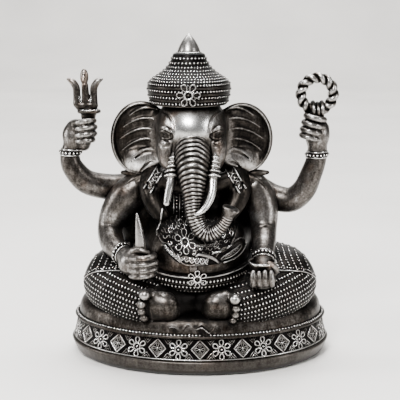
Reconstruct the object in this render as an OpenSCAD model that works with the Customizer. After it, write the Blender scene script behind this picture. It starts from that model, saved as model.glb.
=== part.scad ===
/*  Seated four-armed Ganesha idol, cast in pieces, pinned and glued, and finished in antique silver.
    Origin: the middle of the underside. +Z is up and the idol faces -Y.
    Right and left are the idol's own, so its right side is at -X. Sizes are in millimetres. */

/* [Plinth] */
// Width of the oval plinth at the foot of its patterned band.
plinth_w = 162; // [156:1:170]
// Depth of the oval plinth at the foot of its patterned band.
plinth_d = 104; // [100:1:110]
// Height of the plain foot.
foot_h = 9.5; // [7:0.5:11]
// Height up to the top of the patterned band.
band_top = 24; // [22:0.5:25]
// Thickness of the felt under the foot.
felt_t = 1; // [0.6:0.1:1.5]
// How far the band leans in from its foot to its top.
band_lean = 3.5; // [1:0.5:5]
// Height of the bead rim.
bead_rim_h = 2.4; // [1.6:0.2:3]

/* [Body] */
// Half width of the belly.
belly_r = 33; // [30:0.5:35]
// Half width of the chest.
chest_r = 27; // [24:0.5:29]
// Half width of the flanks under the arms.
flank_r = 45; // [40:0.5:46]
// Radius of a knee.
knee_r = 20; // [18:0.5:21]
// How far out from the middle a knee's centre is.
knee_out = 50.5; // [48:0.5:52]
// Radius of a front arm at its shoulder.
front_arm_r = 10; // [8.5:0.5:11]
// Radius of a raised arm at its shoulder.
raised_arm_r = 9; // [8:0.5:10]
// Half width of a raised fist.
fist_r = 9.6; // [8.5:0.2:10.6]

/* [Head] */
// Half width of the skull.
skull_r = 22; // [20:0.5:24]
// Half width of an ear.
ear_half_w = 17; // [15:0.5:18]
// Half height of an ear.
ear_half_h = 22; // [19:0.5:23]
// Radius of the trunk under the eyes.
trunk_r = 9.2; // [8:0.2:10]
// Radius of the crown at its widest.
crown_r = 24.8; // [23:0.2:26]
// Height of the crown's beaded part.
crown_h = 29; // [26:0.5:32]
// Height of the plain cone on the crown.
finial_h = 11.6; // [9:0.2:14]

/* [Attributes] */
// Width of the trident across its outer prongs.
trident_w = 22; // [17:0.5:23]
// Radius of the noose ring, at the middle of its rope.
noose_r = 9.9; // [9.4:0.1:11]
// Radius of the noose's rope.
noose_rope_r = 3.1; // [2.6:0.1:3.2]
// Radius of the held tusk at the fist.
held_tusk_r = 3.6; // [3:0.1:4.2]
// Radius of the sweet bowl's rim.
bowl_r = 8.2; // [7.4:0.1:9]
// Thickness of the sweet bowl's wall.
bowl_wall = 1.2; // [0.9:0.1:1.6]

/* [Fixings] */
// Diameter of the steel pins.
pin_d = 3; // [2:0.5:4]
// Length of an arm pin.
arm_pin_l = 18; // [14:1:22]

/* [Hidden] */
oval_sides = 64;
body_fn = 20;
limb_fn = 14;
small_fn = 10;
gap = 0.05;
far = 400;
seat_z = band_top + bead_rim_h;
seat_top_z = 37;
belt_h = 11;
belt_tilt = 7;
silver = [0.42, 0.41, 0.40];

// Middle line of the figure: the head and the crown stand a little to its right.
body_x = -3;
head_x = -5;
crown_x = -6.5;
crown_y = -8;
crown_z = 156;
crown_top_z = crown_z + crown_h;
finial_r = 6.8;

belly_at = [body_x, -8, 69];
chest_at = [body_x, 2, 98];
head_at = [head_x, -10, 141];
right_fist_at = [-71, -5, 139];
left_fist_at = [68.5, -5, 138];
right_hand_at = [-36.7, -38, 66];
left_hand_at = [36, -41, 58.5];
bowl_at = [36, -40, 61.5];
bowl_h = 7;
trident_z = 148;
trident_top_z = 176;
noose_at = [69.8, -5, 161.2];
held_tusk_top_z = 95;
neck_pin_low_z = 92;
neck_pin_top_z = 168;

// ---- Shared shapes ----

function turn_of(i) = 360 * i / oval_sides;

function oval(a, b) = [for (i = [0 : oval_sides - 1]) [a * cos(turn_of(i)), b * sin(turn_of(i))]];

// An upright oval slab from z up, with half axes a and b.
module oval_slab(a, b, z, h, y = 0) {
    translate([0, y, z]) linear_extrude(height = h) polygon(oval(a, b));
}

module ball(at, r, fn = limb_fn) {
    translate(at) sphere(r = r, $fn = fn);
}

// An ellipsoid with half axes given as a vector.
module egg(at, half, fn = body_fn) {
    translate(at) scale(half) sphere(r = 1, $fn = fn);
}

// A limb through the given stations, each of them [x, y, z, radius].
module limb(stations, fn = limb_fn) {
    for (i = [0 : len(stations) - 2]) {
        hull() {
            for (s = [stations[i], stations[i + 1]]) {
                ball([s[0], s[1], s[2]], s[3], fn);
            }
        }
    }
}

// Rounded forms that run into each other are one skin.
module one_skin() {
    resize([0, 0, 0]) children();
}

// A ring that stands at a place with its axis turned by the given angles.
module ring(at, turn, r, wire) {
    translate(at) rotate(turn) rotate_extrude($fn = 32) translate([r, 0]) circle(r = wire, $fn = 14);
}

// A six-petal flower facing -Y.
module flower(at, reach, t) {
    petal_r = reach * 0.3;
    translate(at) rotate([90, 0, 0]) {
        cylinder(r = reach * 0.36, h = t, $fn = 24);
        for (i = [0 : 5]) {
            rotate([0, 0, 60 * i]) hull() {
                translate([reach * 0.25, 0, 0]) cylinder(r = petal_r * 0.6, h = t * 0.8, $fn = small_fn);
                translate([reach - petal_r, 0, 0]) cylinder(r = petal_r, h = t * 0.8, $fn = small_fn);
            }
        }
    }
}

// ---- Forms that several nodes fit against ----

module plinth_form() {
    hull() {
        oval_slab(plinth_w / 2 - 4, plinth_d / 2 - 5, felt_t, gap);
        oval_slab(plinth_w / 2 - 1.5, plinth_d / 2 - 1.5, foot_h - gap, gap);
    }
    hull() {
        oval_slab(plinth_w / 2, plinth_d / 2, foot_h, gap);
        oval_slab(plinth_w / 2 - band_lean, plinth_d / 2 - band_lean, band_top - gap, gap);
    }
}

module seat_form() {
    hull() {
        oval_slab(plinth_w / 2 - 5.2, plinth_d / 2 - 4.2, band_top, bead_rim_h);
        oval_slab(plinth_w / 2 - 8, plinth_d / 2 - 9, band_top, seat_top_z - band_top - 5, 2);
        oval_slab(plinth_w / 2 - 16, plinth_d / 2 - 18, band_top, seat_top_z - band_top, 4);
    }
}

module torso_form() {
    hull() {
        egg(belly_at, [belly_r, 37.5, 24]);
        egg([body_x, 6, 50], [40, 26, 16]);
    }
    hull() {
        egg(belly_at + [0, 4, 11], [belly_r - 6, 28, 14]);
        egg(chest_at, [chest_r, 18, 17]);
    }
    hull() {
        ball([-30, 0, 104], 10.5);
        ball([24, 0, 104], 10.5);
    }
    // The flanks reach out to the front arms.
    egg([body_x - 3, 6, 78], [flank_r, 17, 27]);
    limb([[body_x, 1, 104, 15], [head_x, -1, 120, 13]]);
}

trunk_stations = [
    [head_x + 1.4, -26, 143, trunk_r - 1.4],
    [head_x + 1.4, -31, 137, trunk_r - 1.3],
    [head_x + 1, -35.5, 127, trunk_r],
    [head_x + 1.3, -38, 120, trunk_r - 0.9],
    [head_x + 1.8, -41, 108, trunk_r - 3],
    [head_x + 2.5, -43, 100.5, trunk_r - 3.5],
    [head_x + 3.2, -44.6, 94, trunk_r - 4],
    [head_x + 5.8, -45.8, 88.3, trunk_r - 4.4],
    [head_x + 9.9, -46.5, 86.2, trunk_r - 4.8],
    [head_x + 14.5, -47, 88.3, trunk_r - 5.3],
    [head_x + 18.4, -47.4, 92.6, trunk_r - 5.8],
    [head_x + 21.7, -48.2, 100.6, trunk_r - 5.6]
];

module head_form() {
    egg(head_at, [skull_r, 22, 22]);
    for (side = [-1, 1]) {
        hull() {
            egg(head_at + [side * 12, -11, -3], [9, 9, 10], limb_fn);
            egg(head_at + [side * 11.5, -13, -14], [8.5, 9, 9], limb_fn);
        }
    }
    limb([[head_x, -6, 128, 15], [head_x, -2, 118, 12]]);
    limb(trunk_stations);
}

// One leg: thigh, knee and shin, with side -1 for the right and 1 for the left.
module leg_form(side) {
    limb([
        [body_x + side * 20, 10, 50, 19],
        [side * 38, 2, 49, 20],
        [side * knee_out, -12, 48.5, knee_r],
        [side * 38, -28, 44, 16],
        [side * 22, -34, 42, 12.5],
        [side * 6 + body_x, -30, 41, 11]
    ], 20);
}

module front_arm_form(side) {
    if (side < 0) {
        limb([
            [-42, -5, 101, front_arm_r],
            [-52, -5, 90, front_arm_r - 0.6],
            [-55.5, -6, 79, front_arm_r - 0.8],
            [-52, -18, 71, front_arm_r - 2.2],
            [-45.5, -29, 68, front_arm_r - 3.4],
            [-38, -37, 66, front_arm_r - 2.5]
        ]);
        egg(right_hand_at, [8.4, 9, 9.4], limb_fn);
    } else {
        limb([
            [36, -5, 101, front_arm_r],
            [38, -7, 90, front_arm_r - 0.4],
            [38, -11, 80, front_arm_r - 0.6],
            [37.5, -22, 73, front_arm_r - 2.4],
            [37, -31, 67, front_arm_r - 3.6],
            [36.5, -36, 60, front_arm_r - 3.4]
        ]);
        hull() {
            egg(left_hand_at, [9.4, 7.5, 4.6], limb_fn);
            egg(left_hand_at + [0, -3, -2], [8.4, 5.5, 4], limb_fn);
        }
    }
}

module raised_arm_form(side) {
    if (side < 0) {
        limb([
            [-38, 6, 105, raised_arm_r],
            [-56, 3, 103.5, raised_arm_r - 1.2],
            [-69, -2, 107.5, raised_arm_r - 1],
            [-75, -5, 115, raised_arm_r - 1],
            [-78, -5, 126, raised_arm_r - 2],
            [-72, -5, 136, fist_r - 1.6]
        ]);
        egg(right_fist_at, [fist_r, 8.4, 10.4], limb_fn);
    } else {
        limb([
            [31, 6, 105, raised_arm_r],
            [45, 3, 97.4, raised_arm_r - 1],
            [55.5, -1, 96.4, raised_arm_r - 1],
            [63, -5, 105.5, raised_arm_r - 1.2],
            [70, -5, 124, raised_arm_r - 2.2],
            [70, -5, 134, fist_r - 1.8]
        ]);
        egg(left_fist_at, [fist_r, 8.4, 10.4], limb_fn);
    }
}

// The two pins lie along X, from the chest out into the raised arms.
module arm_pins_form(clear = 0) {
    for (x = [-37, 30]) {
        translate([x, 8, 105]) rotate([0, 90, 0])
            cylinder(d = pin_d + clear, h = arm_pin_l + clear, center = true, $fn = 24);
    }
}

module neck_pin_form(clear = 0) {
    translate([crown_x + 1.5, -3, neck_pin_low_z])
        cylinder(d = pin_d + clear, h = neck_pin_top_z - neck_pin_low_z + clear, $fn = 24);
}

// Pegs of the attributes, which sit in their hands.
module trident_peg(clear = 0) {
    translate([right_fist_at[0] + 2, -5, trident_z - 9]) cylinder(d = 4 + clear, h = 10, $fn = 24);
}

module noose_peg(clear = 0) {
    translate([noose_at[0], -5, noose_at[2] - noose_r - 9]) cylinder(d = 4 + clear, h = 9, $fn = 24);
}

module held_tusk_peg(clear = 0) {
    translate([right_hand_at[0], right_hand_at[1] - 1, right_hand_at[2] - 2])
        cylinder(d = 2 * held_tusk_r - 1 + clear, h = 14, $fn = 24);
}

module bowl_outside() {
    translate(bowl_at) rotate_extrude($fn = 48)
        polygon([[0, 0], [bowl_r * 0.5, 0], [bowl_r * 0.86, bowl_h * 0.42], [bowl_r, bowl_h], [0, bowl_h]]);
}

// ---- Plinth ----

module felt_pad() {
    color([0.1, 0.1, 0.1]) oval_slab(plinth_w / 2 - 7, plinth_d / 2 - 8, 0, felt_t);
}

module plinth() {
    color(silver) one_skin() plinth_form();
}

module bead_rim() {
    color(silver) difference() {
        oval_slab(plinth_w / 2 - band_lean + 1, plinth_d / 2 - band_lean + 1, band_top, bead_rim_h);
        oval_slab(plinth_w / 2 - 5.2 + gap, plinth_d / 2 - 4.2 - gap, band_top - 1, bead_rim_h + 2);
    }
}

module seat() {
    color(silver) one_skin() seat_form();
}

module hem_cloth() {
    color(silver) one_skin() difference() {
        union() {
            limb([[-36, -39, 31, 4], [-25, -44, 28.5, 3.5], [-8, -46, 28, 4], [6, -46, 28, 4],
                  [22, -44, 28.5, 3.5], [34, -39, 31, 4]]);
            hull() {
                egg([-4, -38, 32], [14, 7, 6], limb_fn);
                egg([-4, -42, 29], [14, 6, 3], limb_fn);
            }
        }
        seat_form();
        bead_ground();
        leg_form(-1);
        leg_form(1);
        foot_form(-1);
        foot_form(1);
    }
}

// The space that the plinth and its rim fill.
module bead_ground() {
    oval_slab(plinth_w / 2 + 1, plinth_d / 2 + 1, 0, seat_z);
}

// ---- Legs and feet ----

module dressed_leg(side) {
    one_skin() difference() {
        leg_form(side);
        seat_form();
        foot_form(side);
        // The legs meet at the middle line of the figure.
        translate([side < 0 ? body_x : body_x - far, -far / 2, 0]) cube([far, far, far]);
    }
}

module right_leg() {
    color(silver) dressed_leg(-1);
}

module left_leg() {
    color(silver) dressed_leg(1);
}

// A sole that faces the front, with its toes in a column on the outer side.
module foot_form(side) {
    sole_x = side < 0 ? -20 : 11.5;
    toe_x = side < 0 ? -30.5 : 20;
    sole_r = side < 0 ? 8.6 : 7;
    hull() {
        egg([sole_x, -44.5, 45], [sole_r, 6, 9], limb_fn);
        egg([sole_x + side, -44, 36], [sole_r - 1, 6, 8], limb_fn);
    }
    for (i = [0 : 4]) {
        hull() {
            ball([toe_x, -46.5, 51 - 4.4 * i], i == 0 ? 3.5 : 2.8, small_fn);
            ball([toe_x - side * 5, -44.5, 50 - 4 * i], 3, small_fn);
        }
    }
}

module right_foot() {
    color(silver) one_skin() difference() {
        foot_form(-1);
        seat_form();
    }
}

module left_foot() {
    color(silver) one_skin() difference() {
        foot_form(1);
        seat_form();
    }
}

// ---- Torso and its dress ----

module torso() {
    color(silver) one_skin() difference() {
        torso_form();
        seat_form();
        leg_form(-1);
        leg_form(1);
        head_form();
        arm_pins_form();
        neck_pin_form();
    }
}

module shawl() {
    color(silver) one_skin() difference() {
        limb([[-24, -15, 108, 4.5], [-29, -6, 112, 6], [-24, 8, 113, 6.5], [-10, 14, 112, 7], [4, 14, 112, 7],
              [18, 8, 113, 6.5], [23, -6, 112, 6], [18, -15, 108, 4.5]]);
        torso_form();
        head_form();
    }
}

module bib() {
    color(silver) one_skin() difference() {
        bib_space();
        torso_form();
        head_form();
        front_arm_form(-1);
        front_arm_form(1);
        shawl_all();
        bib_flower_form();
        // Only the front of the chest is covered.
        translate([-far / 2, -14, 0]) cube([far, far, far]);
    }
}

module bib_flower_form() {
    flower([-8.5, -39.5, 80.5], 6.5, 3);
}

module bib_flower() {
    color(silver) one_skin() bib_flower_form();
}

sash_stations = [
    [-24, -30, 87, 3],
    [-19, -37, 77.5, 3.2],
    [-11.5, -42, 71, 3.2],
    [-4, -43.5, 68.5, 3.2],
    [4, -43.5, 69, 3.2],
    [13, -41, 71, 3.2],
    [23, -34, 76.3, 3.4],
    [27, -29, 79, 3.4]
];

module sash() {
    color(silver) one_skin() difference() {
        limb(sash_stations, small_fn);
        torso_form();
        bib_space();
        front_arm_form(-1);
        front_arm_form(1);
    }
}

module bib_space() {
    hull() {
        egg(chest_at + [0, -4, -2], [chest_r - 3, 18, 12]);
        egg(belly_at + [-1, -1, 16], [20, 31, 5]);
    }
}

// A band round the lower belly that dips at the front.
module waist_belt() {
    color(silver) one_skin() difference() {
        intersection() {
            hull() {
                egg(belly_at, [belly_r + 2.2, 39.7, 25]);
                egg([body_x, 6, 50], [41.5, 28, 17]);
            }
            translate([0, -44, 59.5]) rotate([belt_tilt, 0, 0])
                translate([-far / 2, -far / 2, -belt_h / 2]) cube([far, far, belt_h]);
        }
        torso_form();
        leg_form(-1);
        leg_form(1);
        front_arm_form(-1);
        front_arm_form(1);
        belt_flower_form();
    }
}

module belt_flower_form() {
    flower([-1.5, -44.6, 59], 6.4, 3);
}

module belt_flower() {
    color(silver) one_skin() belt_flower_form();
}

// ---- Head ----

module head() {
    color(silver) one_skin() difference() {
        head_form();
        neck_pin_form();
        // The skull is flat on top, where the crown sits.
        translate([-far / 2, -far / 2, crown_z]) cube([far, far, far]);
        tusk_form(-1);
        tusk_form(1);
    }
}

// A fan ear: a rounded blade that stands out beside the head.
module ear(side) {
    ear_x = head_x + side * 31;
    one_skin() difference() {
        hull() {
            translate([ear_x, -6, 134]) rotate([90, 0, side * 10])
                scale([ear_half_w, ear_half_h, 1]) cylinder(r = 1, h = 3.6, center = true, $fn = 32);
            translate([head_x + side * 20, -8, 140]) rotate([90, 0, 0])
                scale([5, 14, 1]) cylinder(r = 1, h = 4, center = true, $fn = 24);
            translate([ear_x - side * 4, -7, 118]) rotate([90, 0, 0])
                cylinder(r = 7, h = 4, center = true, $fn = 24);
        }
        head_form();
        crown_form();
    }
}

module right_ear() {
    color(silver) ear(-1);
}

module left_ear() {
    color(silver) ear(1);
}

// The right tusk is short and broken off, the left one runs on to a point.
module tusk_form(side) {
    if (side < 0) {
        limb([[-14.8, -32, 126, 3.4], [-15.4, -36, 118, 3.3]], small_fn);
        limb([[-15.4, -36, 118, 2.4], [-18.2, -38.5, 107, 2], [-19.4, -40, 100, 1.7]], small_fn);
    } else {
        limb([[8, -32, 127.5, 3.4], [7.1, -37, 118.3, 3.3]], small_fn);
        limb([
            [7.1, -37, 118.3, 2.6],
            [6.2, -43, 108, 2.5],
            [2.8, -48, 102.2, 2],
            [-1.6, -50.4, 98.6, 1]
        ], small_fn);
    }
}

module right_tusk() {
    color(silver) one_skin() tusk_form(-1);
}

module left_tusk() {
    color(silver) one_skin() tusk_form(1);
}

module crown_form() {
    translate([crown_x, crown_y, crown_z]) rotate_extrude($fn = 64) polygon([
        [0, 0],
        [crown_r - 2, 0],
        [crown_r - 1, 3],
        [crown_r, 9],
        [crown_r - 1.4, 12.5],
        [crown_r - 6.6, crown_h - 12],
        [crown_r - 13.5, crown_h - 6],
        [crown_r - 17, crown_h],
        [0, crown_h]
    ]);
}

module crown() {
    color(silver) difference() {
        crown_form();
        neck_pin_form();
    }
}

module crown_finial() {
    color(silver) translate([crown_x, crown_y, crown_top_z]) rotate_extrude($fn = 48) polygon([
        [0, 0],
        [finial_r, 0],
        [finial_r - 0.4, 2.2],
        [finial_r * 0.62, finial_h * 0.55],
        [1.2, finial_h - 0.6],
        [0, finial_h]
    ]);
}

module crown_flower() {
    color(silver) one_skin() difference() {
        flower([crown_x, crown_y - crown_r + 2, crown_z + 7], 6.4, 3.8);
        crown_form();
    }
}

// ---- Arms ----

module upper_right_arm() {
    color(silver) one_skin() difference() {
        raised_arm_form(-1);
        torso_form();
        shoulder_guard_form(-1);
        shawl_all();
        arm_pins_form();
        trident_peg();
        front_arm_form(-1);
        upper_right_bangle_form();
    }
}

module upper_left_arm() {
    color(silver) one_skin() difference() {
        raised_arm_form(1);
        torso_form();
        shoulder_guard_form(1);
        shawl_all();
        arm_pins_form();
        noose_peg();
        front_arm_form(1);
        upper_left_bangle_form();
    }
}

// The shawl's whole run, for the arms to fit under.
module shawl_all() {
    limb([[-24, -15, 108, 4.5], [-29, -6, 112, 6], [-24, 8, 113, 6.5]]);
    limb([[18, 8, 113, 6.5], [23, -6, 112, 6], [18, -15, 108, 4.5]]);
}

module lower_right_arm() {
    color(silver) one_skin() difference() {
        front_arm_form(-1);
        torso_form();
        shoulder_guard_form(-1);
        shawl_all();
        leg_form(-1);
        held_tusk_peg();
        lower_right_bangle_form();
    }
}

module lower_left_arm() {
    color(silver) one_skin() difference() {
        front_arm_form(1);
        torso_form();
        shoulder_guard_form(1);
        shawl_all();
        leg_form(1);
        bowl_outside();
        lower_left_bangle_form();
    }
}

// A cap over the shoulder that ends in a point at its outer edge.
module shoulder_guard_form(side) {
    hull() {
        egg([side < 0 ? -37 : 30, -3, 110], [8, 9, 4.5], limb_fn);
        ball([side < 0 ? -47 : 40.5, -4, 114], 1.2, small_fn);
    }
}

module right_shoulder_guard() {
    color(silver) one_skin() difference() {
        shoulder_guard_form(-1);
        torso_form();
        shawl_all();
    }
}

module left_shoulder_guard() {
    color(silver) one_skin() difference() {
        shoulder_guard_form(1);
        torso_form();
        shawl_all();
    }
}

// ---- Bangles: each is a ring let into its wrist ----

module upper_right_bangle_form() {
    ring([-77.5, -5, 127], [0, -8, 0], 6.9, 1.6);
}

module upper_left_bangle_form() {
    ring([70, -5, 125.5], [0, 6, 0], 6.8, 1.6);
}

module lower_right_bangle_form() {
    ring([-46, -28, 68.4], [0, 75, 58], 7, 1.5);
}

module lower_left_bangle_form() {
    ring([37, -29.5, 68.5], [55, 0, 0], 7.2, 1.4);
}

module upper_right_bangle() {
    color(silver) upper_right_bangle_form();
}

module upper_left_bangle() {
    color(silver) upper_left_bangle_form();
}

module lower_right_bangle() {
    color(silver) lower_right_bangle_form();
}

module lower_left_bangle() {
    color(silver) lower_left_bangle_form();
}

// ---- What the hands hold ----

module trident() {
    x = right_fist_at[0] + 3;
    prong_x = trident_w / 2 - 0.9;
    color(silver) one_skin() difference() {
        union() {
            trident_peg();
            // The neck, the collar and the cup that the prongs rise from.
            translate([x + 1, -5, trident_z - 1.5]) cylinder(r1 = 4.2, r2 = 5, h = 3.2, $fn = 24);
            translate([x + 1.6, -5, trident_z + 1.2]) cylinder(r1 = 5.6, r2 = 7, h = 1.5, $fn = 32);
            translate([x + 1.6, -5, trident_z + 2.7]) cylinder(r1 = 7, r2 = 6, h = 1.3, $fn = 32);
            limb([[x - 3.4, -5, trident_z + 6, 3], [x + 4.2, -5, trident_z + 6, 3]], small_fn);
            limb([
                [x + 0.3, -5, trident_z + 6, 2.8],
                [x - 0.1, -5, trident_z + 12, 2.1],
                [x - 0.5, -5, trident_top_z - 9, 1.8],
                [x - 0.6, -5, trident_top_z - 4.6, 2.3],
                [x - 0.6, -5, trident_top_z - 1.1, 1.1]
            ], small_fn);
            for (side = [-1, 1]) {
                limb([
                    [x + side * 4.4, -5, trident_z + 7.5, 2.4],
                    [x + side * 5.1, -5, trident_z + 12.5, 1.9],
                    [x + side * 5.4, -5, trident_z + 16.8, 2],
                    [x + side * 7.4, -5, trident_z + 20.3, 1.7],
                    [x + side * prong_x, -5, trident_z + 21.9, 0.9]
                ], small_fn);
            }
        }
        right_fist_round();
    }
}

// The fist's own round, which the trident's collar stands on.
module right_fist_round() {
    difference() {
        egg(right_fist_at, [fist_r, 8.4, 10.4], limb_fn);
        trident_peg();
    }
}

module noose() {
    color(silver) difference() {
        union() {
            ring(noose_at, [90, 0, 0], noose_r, noose_rope_r);
            noose_peg();
            translate([noose_at[0], -5, noose_at[2] - noose_r]) rotate([0, 90, 0])
                cylinder(r = noose_rope_r + 0.7, h = 7, center = true, $fn = 32);
        }
    }
}

module held_tusk() {
    color(silver) one_skin() difference() {
        union() {
            held_tusk_peg();
            limb([[right_hand_at[0], -39, 73, held_tusk_r], [-37.4, -39.5, 81, held_tusk_r - 0.5],
                  [-38, -40, 89, held_tusk_r - 1.5], [-37.8, -40, held_tusk_top_z - 0.6, 0.6]], limb_fn);
        }
        difference() {
            egg(right_hand_at, [8.4, 9, 9.4], limb_fn);
            held_tusk_peg();
        }
    }
}

module sweet_bowl() {
    inner = bowl_r - bowl_wall;
    color(silver) translate(bowl_at) rotate_extrude($fn = 48) polygon([
        [0, 0],
        [bowl_r * 0.5, 0],
        [bowl_r * 0.86, bowl_h * 0.42],
        [bowl_r, bowl_h],
        [inner, bowl_h],
        [inner * 0.84, bowl_h * 0.5],
        [inner * 0.5, bowl_wall],
        [0, bowl_wall]
    ]);
}

// The sweet fills the bowl to a little under its rim.
module sweet() {
    inner = bowl_r - bowl_wall;
    color(silver) translate(bowl_at) rotate_extrude($fn = 48) polygon([
        [0, bowl_wall],
        [inner * 0.5, bowl_wall],
        [inner * 0.84, bowl_h * 0.5],
        [inner * 0.62, bowl_h * 0.72],
        [inner * 0.3, bowl_h * 0.86],
        [0, bowl_h * 0.9]
    ]);
}

// ---- Pins ----

module arm_pins() {
    color([0.7, 0.7, 0.72]) arm_pins_form();
}

module neck_pin() {
    color([0.7, 0.7, 0.72]) neck_pin_form();
}

felt_pad();
plinth();
bead_rim();
seat();
hem_cloth();
right_leg();
left_leg();
right_foot();
left_foot();
torso();
shawl();
bib();
bib_flower();
sash();
waist_belt();
belt_flower();
head();
right_ear();
left_ear();
right_tusk();
left_tusk();
crown();
crown_finial();
crown_flower();
upper_right_arm();
upper_left_arm();
lower_right_arm();
lower_left_arm();
right_shoulder_guard();
left_shoulder_guard();
upper_right_bangle();
upper_left_bangle();
lower_right_bangle();
lower_left_bangle();
trident();
noose();
held_tusk();
sweet_bowl();
sweet();
arm_pins();
neck_pin();
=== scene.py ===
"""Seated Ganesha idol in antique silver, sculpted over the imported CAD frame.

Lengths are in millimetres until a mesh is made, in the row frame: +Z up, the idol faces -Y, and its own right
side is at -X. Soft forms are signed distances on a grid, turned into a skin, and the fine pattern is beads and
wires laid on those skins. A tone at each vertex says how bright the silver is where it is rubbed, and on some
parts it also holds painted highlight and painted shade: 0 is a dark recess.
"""

import math

import bpy
import numpy as np
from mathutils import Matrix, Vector


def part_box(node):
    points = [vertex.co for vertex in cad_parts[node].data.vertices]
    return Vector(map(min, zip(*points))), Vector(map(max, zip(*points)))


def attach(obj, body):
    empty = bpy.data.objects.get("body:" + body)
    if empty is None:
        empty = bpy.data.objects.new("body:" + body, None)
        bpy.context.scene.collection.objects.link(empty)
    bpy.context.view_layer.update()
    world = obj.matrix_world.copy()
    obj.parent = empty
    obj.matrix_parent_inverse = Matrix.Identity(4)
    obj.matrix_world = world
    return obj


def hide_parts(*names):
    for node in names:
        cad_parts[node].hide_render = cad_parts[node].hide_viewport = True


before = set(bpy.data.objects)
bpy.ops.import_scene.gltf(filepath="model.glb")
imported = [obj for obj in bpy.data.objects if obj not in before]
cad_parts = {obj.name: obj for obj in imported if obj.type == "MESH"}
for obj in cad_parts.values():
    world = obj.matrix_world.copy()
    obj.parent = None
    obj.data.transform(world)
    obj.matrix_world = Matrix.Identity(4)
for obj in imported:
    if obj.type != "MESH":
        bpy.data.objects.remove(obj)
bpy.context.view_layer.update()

MM = 0.001
FAR = 9.0
TINY = 1e-9
COARSE = 1.0
random = np.random.default_rng(11)


def node_box(name):
    """Lowest and highest corner of a CAD node in millimetres."""
    low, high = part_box(name)
    return np.array(low) / MM, np.array(high) / MM


def vec(*values):
    return np.array(values, float)


def unit(v):
    """A vector, or each row of them, at length 1."""
    return v / (np.linalg.norm(v, axis=-1, keepdims=True) + TINY)


def turns(n, shift=0.0):
    """n angles spaced evenly round a circle."""
    return 2 * np.pi * (np.arange(n) + shift) / n


def ramp(value, low, high):
    """0 below low, 1 above high and straight between; low may be the greater."""
    return np.clip((value - low) / (high - low), 0, 1)


# ---- soft forms on a grid


def smooth_least(a, b, k):
    """The lesser of two distances, blended where they are within k of each other."""
    h = np.clip(0.5 + 0.5 * (b - a) / k, 0, 1)
    return b + (a - b) * h - k * h * (1 - h)


def curve(stations, steps=5, closed=False):
    """A Catmull-Rom curve through stations of any width, steps points for each span."""
    p = np.array(stations, float)
    n = len(p)
    out = []
    for i in range(n if closed else n - 1):
        near = (i - 1, i, i + 1, i + 2)
        a, b, c, d = (p[j % n if closed else min(max(j, 0), n - 1)] for j in near)
        for t in np.arange(steps) / steps:
            out.append(0.5 * (2 * b + (c - a) * t + (2 * a - 5 * b + 4 * c - d) * t * t
                              + (3 * b - a - 3 * c + d) * t ** 3))
    return np.array(out if closed else out + [p[-1]])


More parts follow.
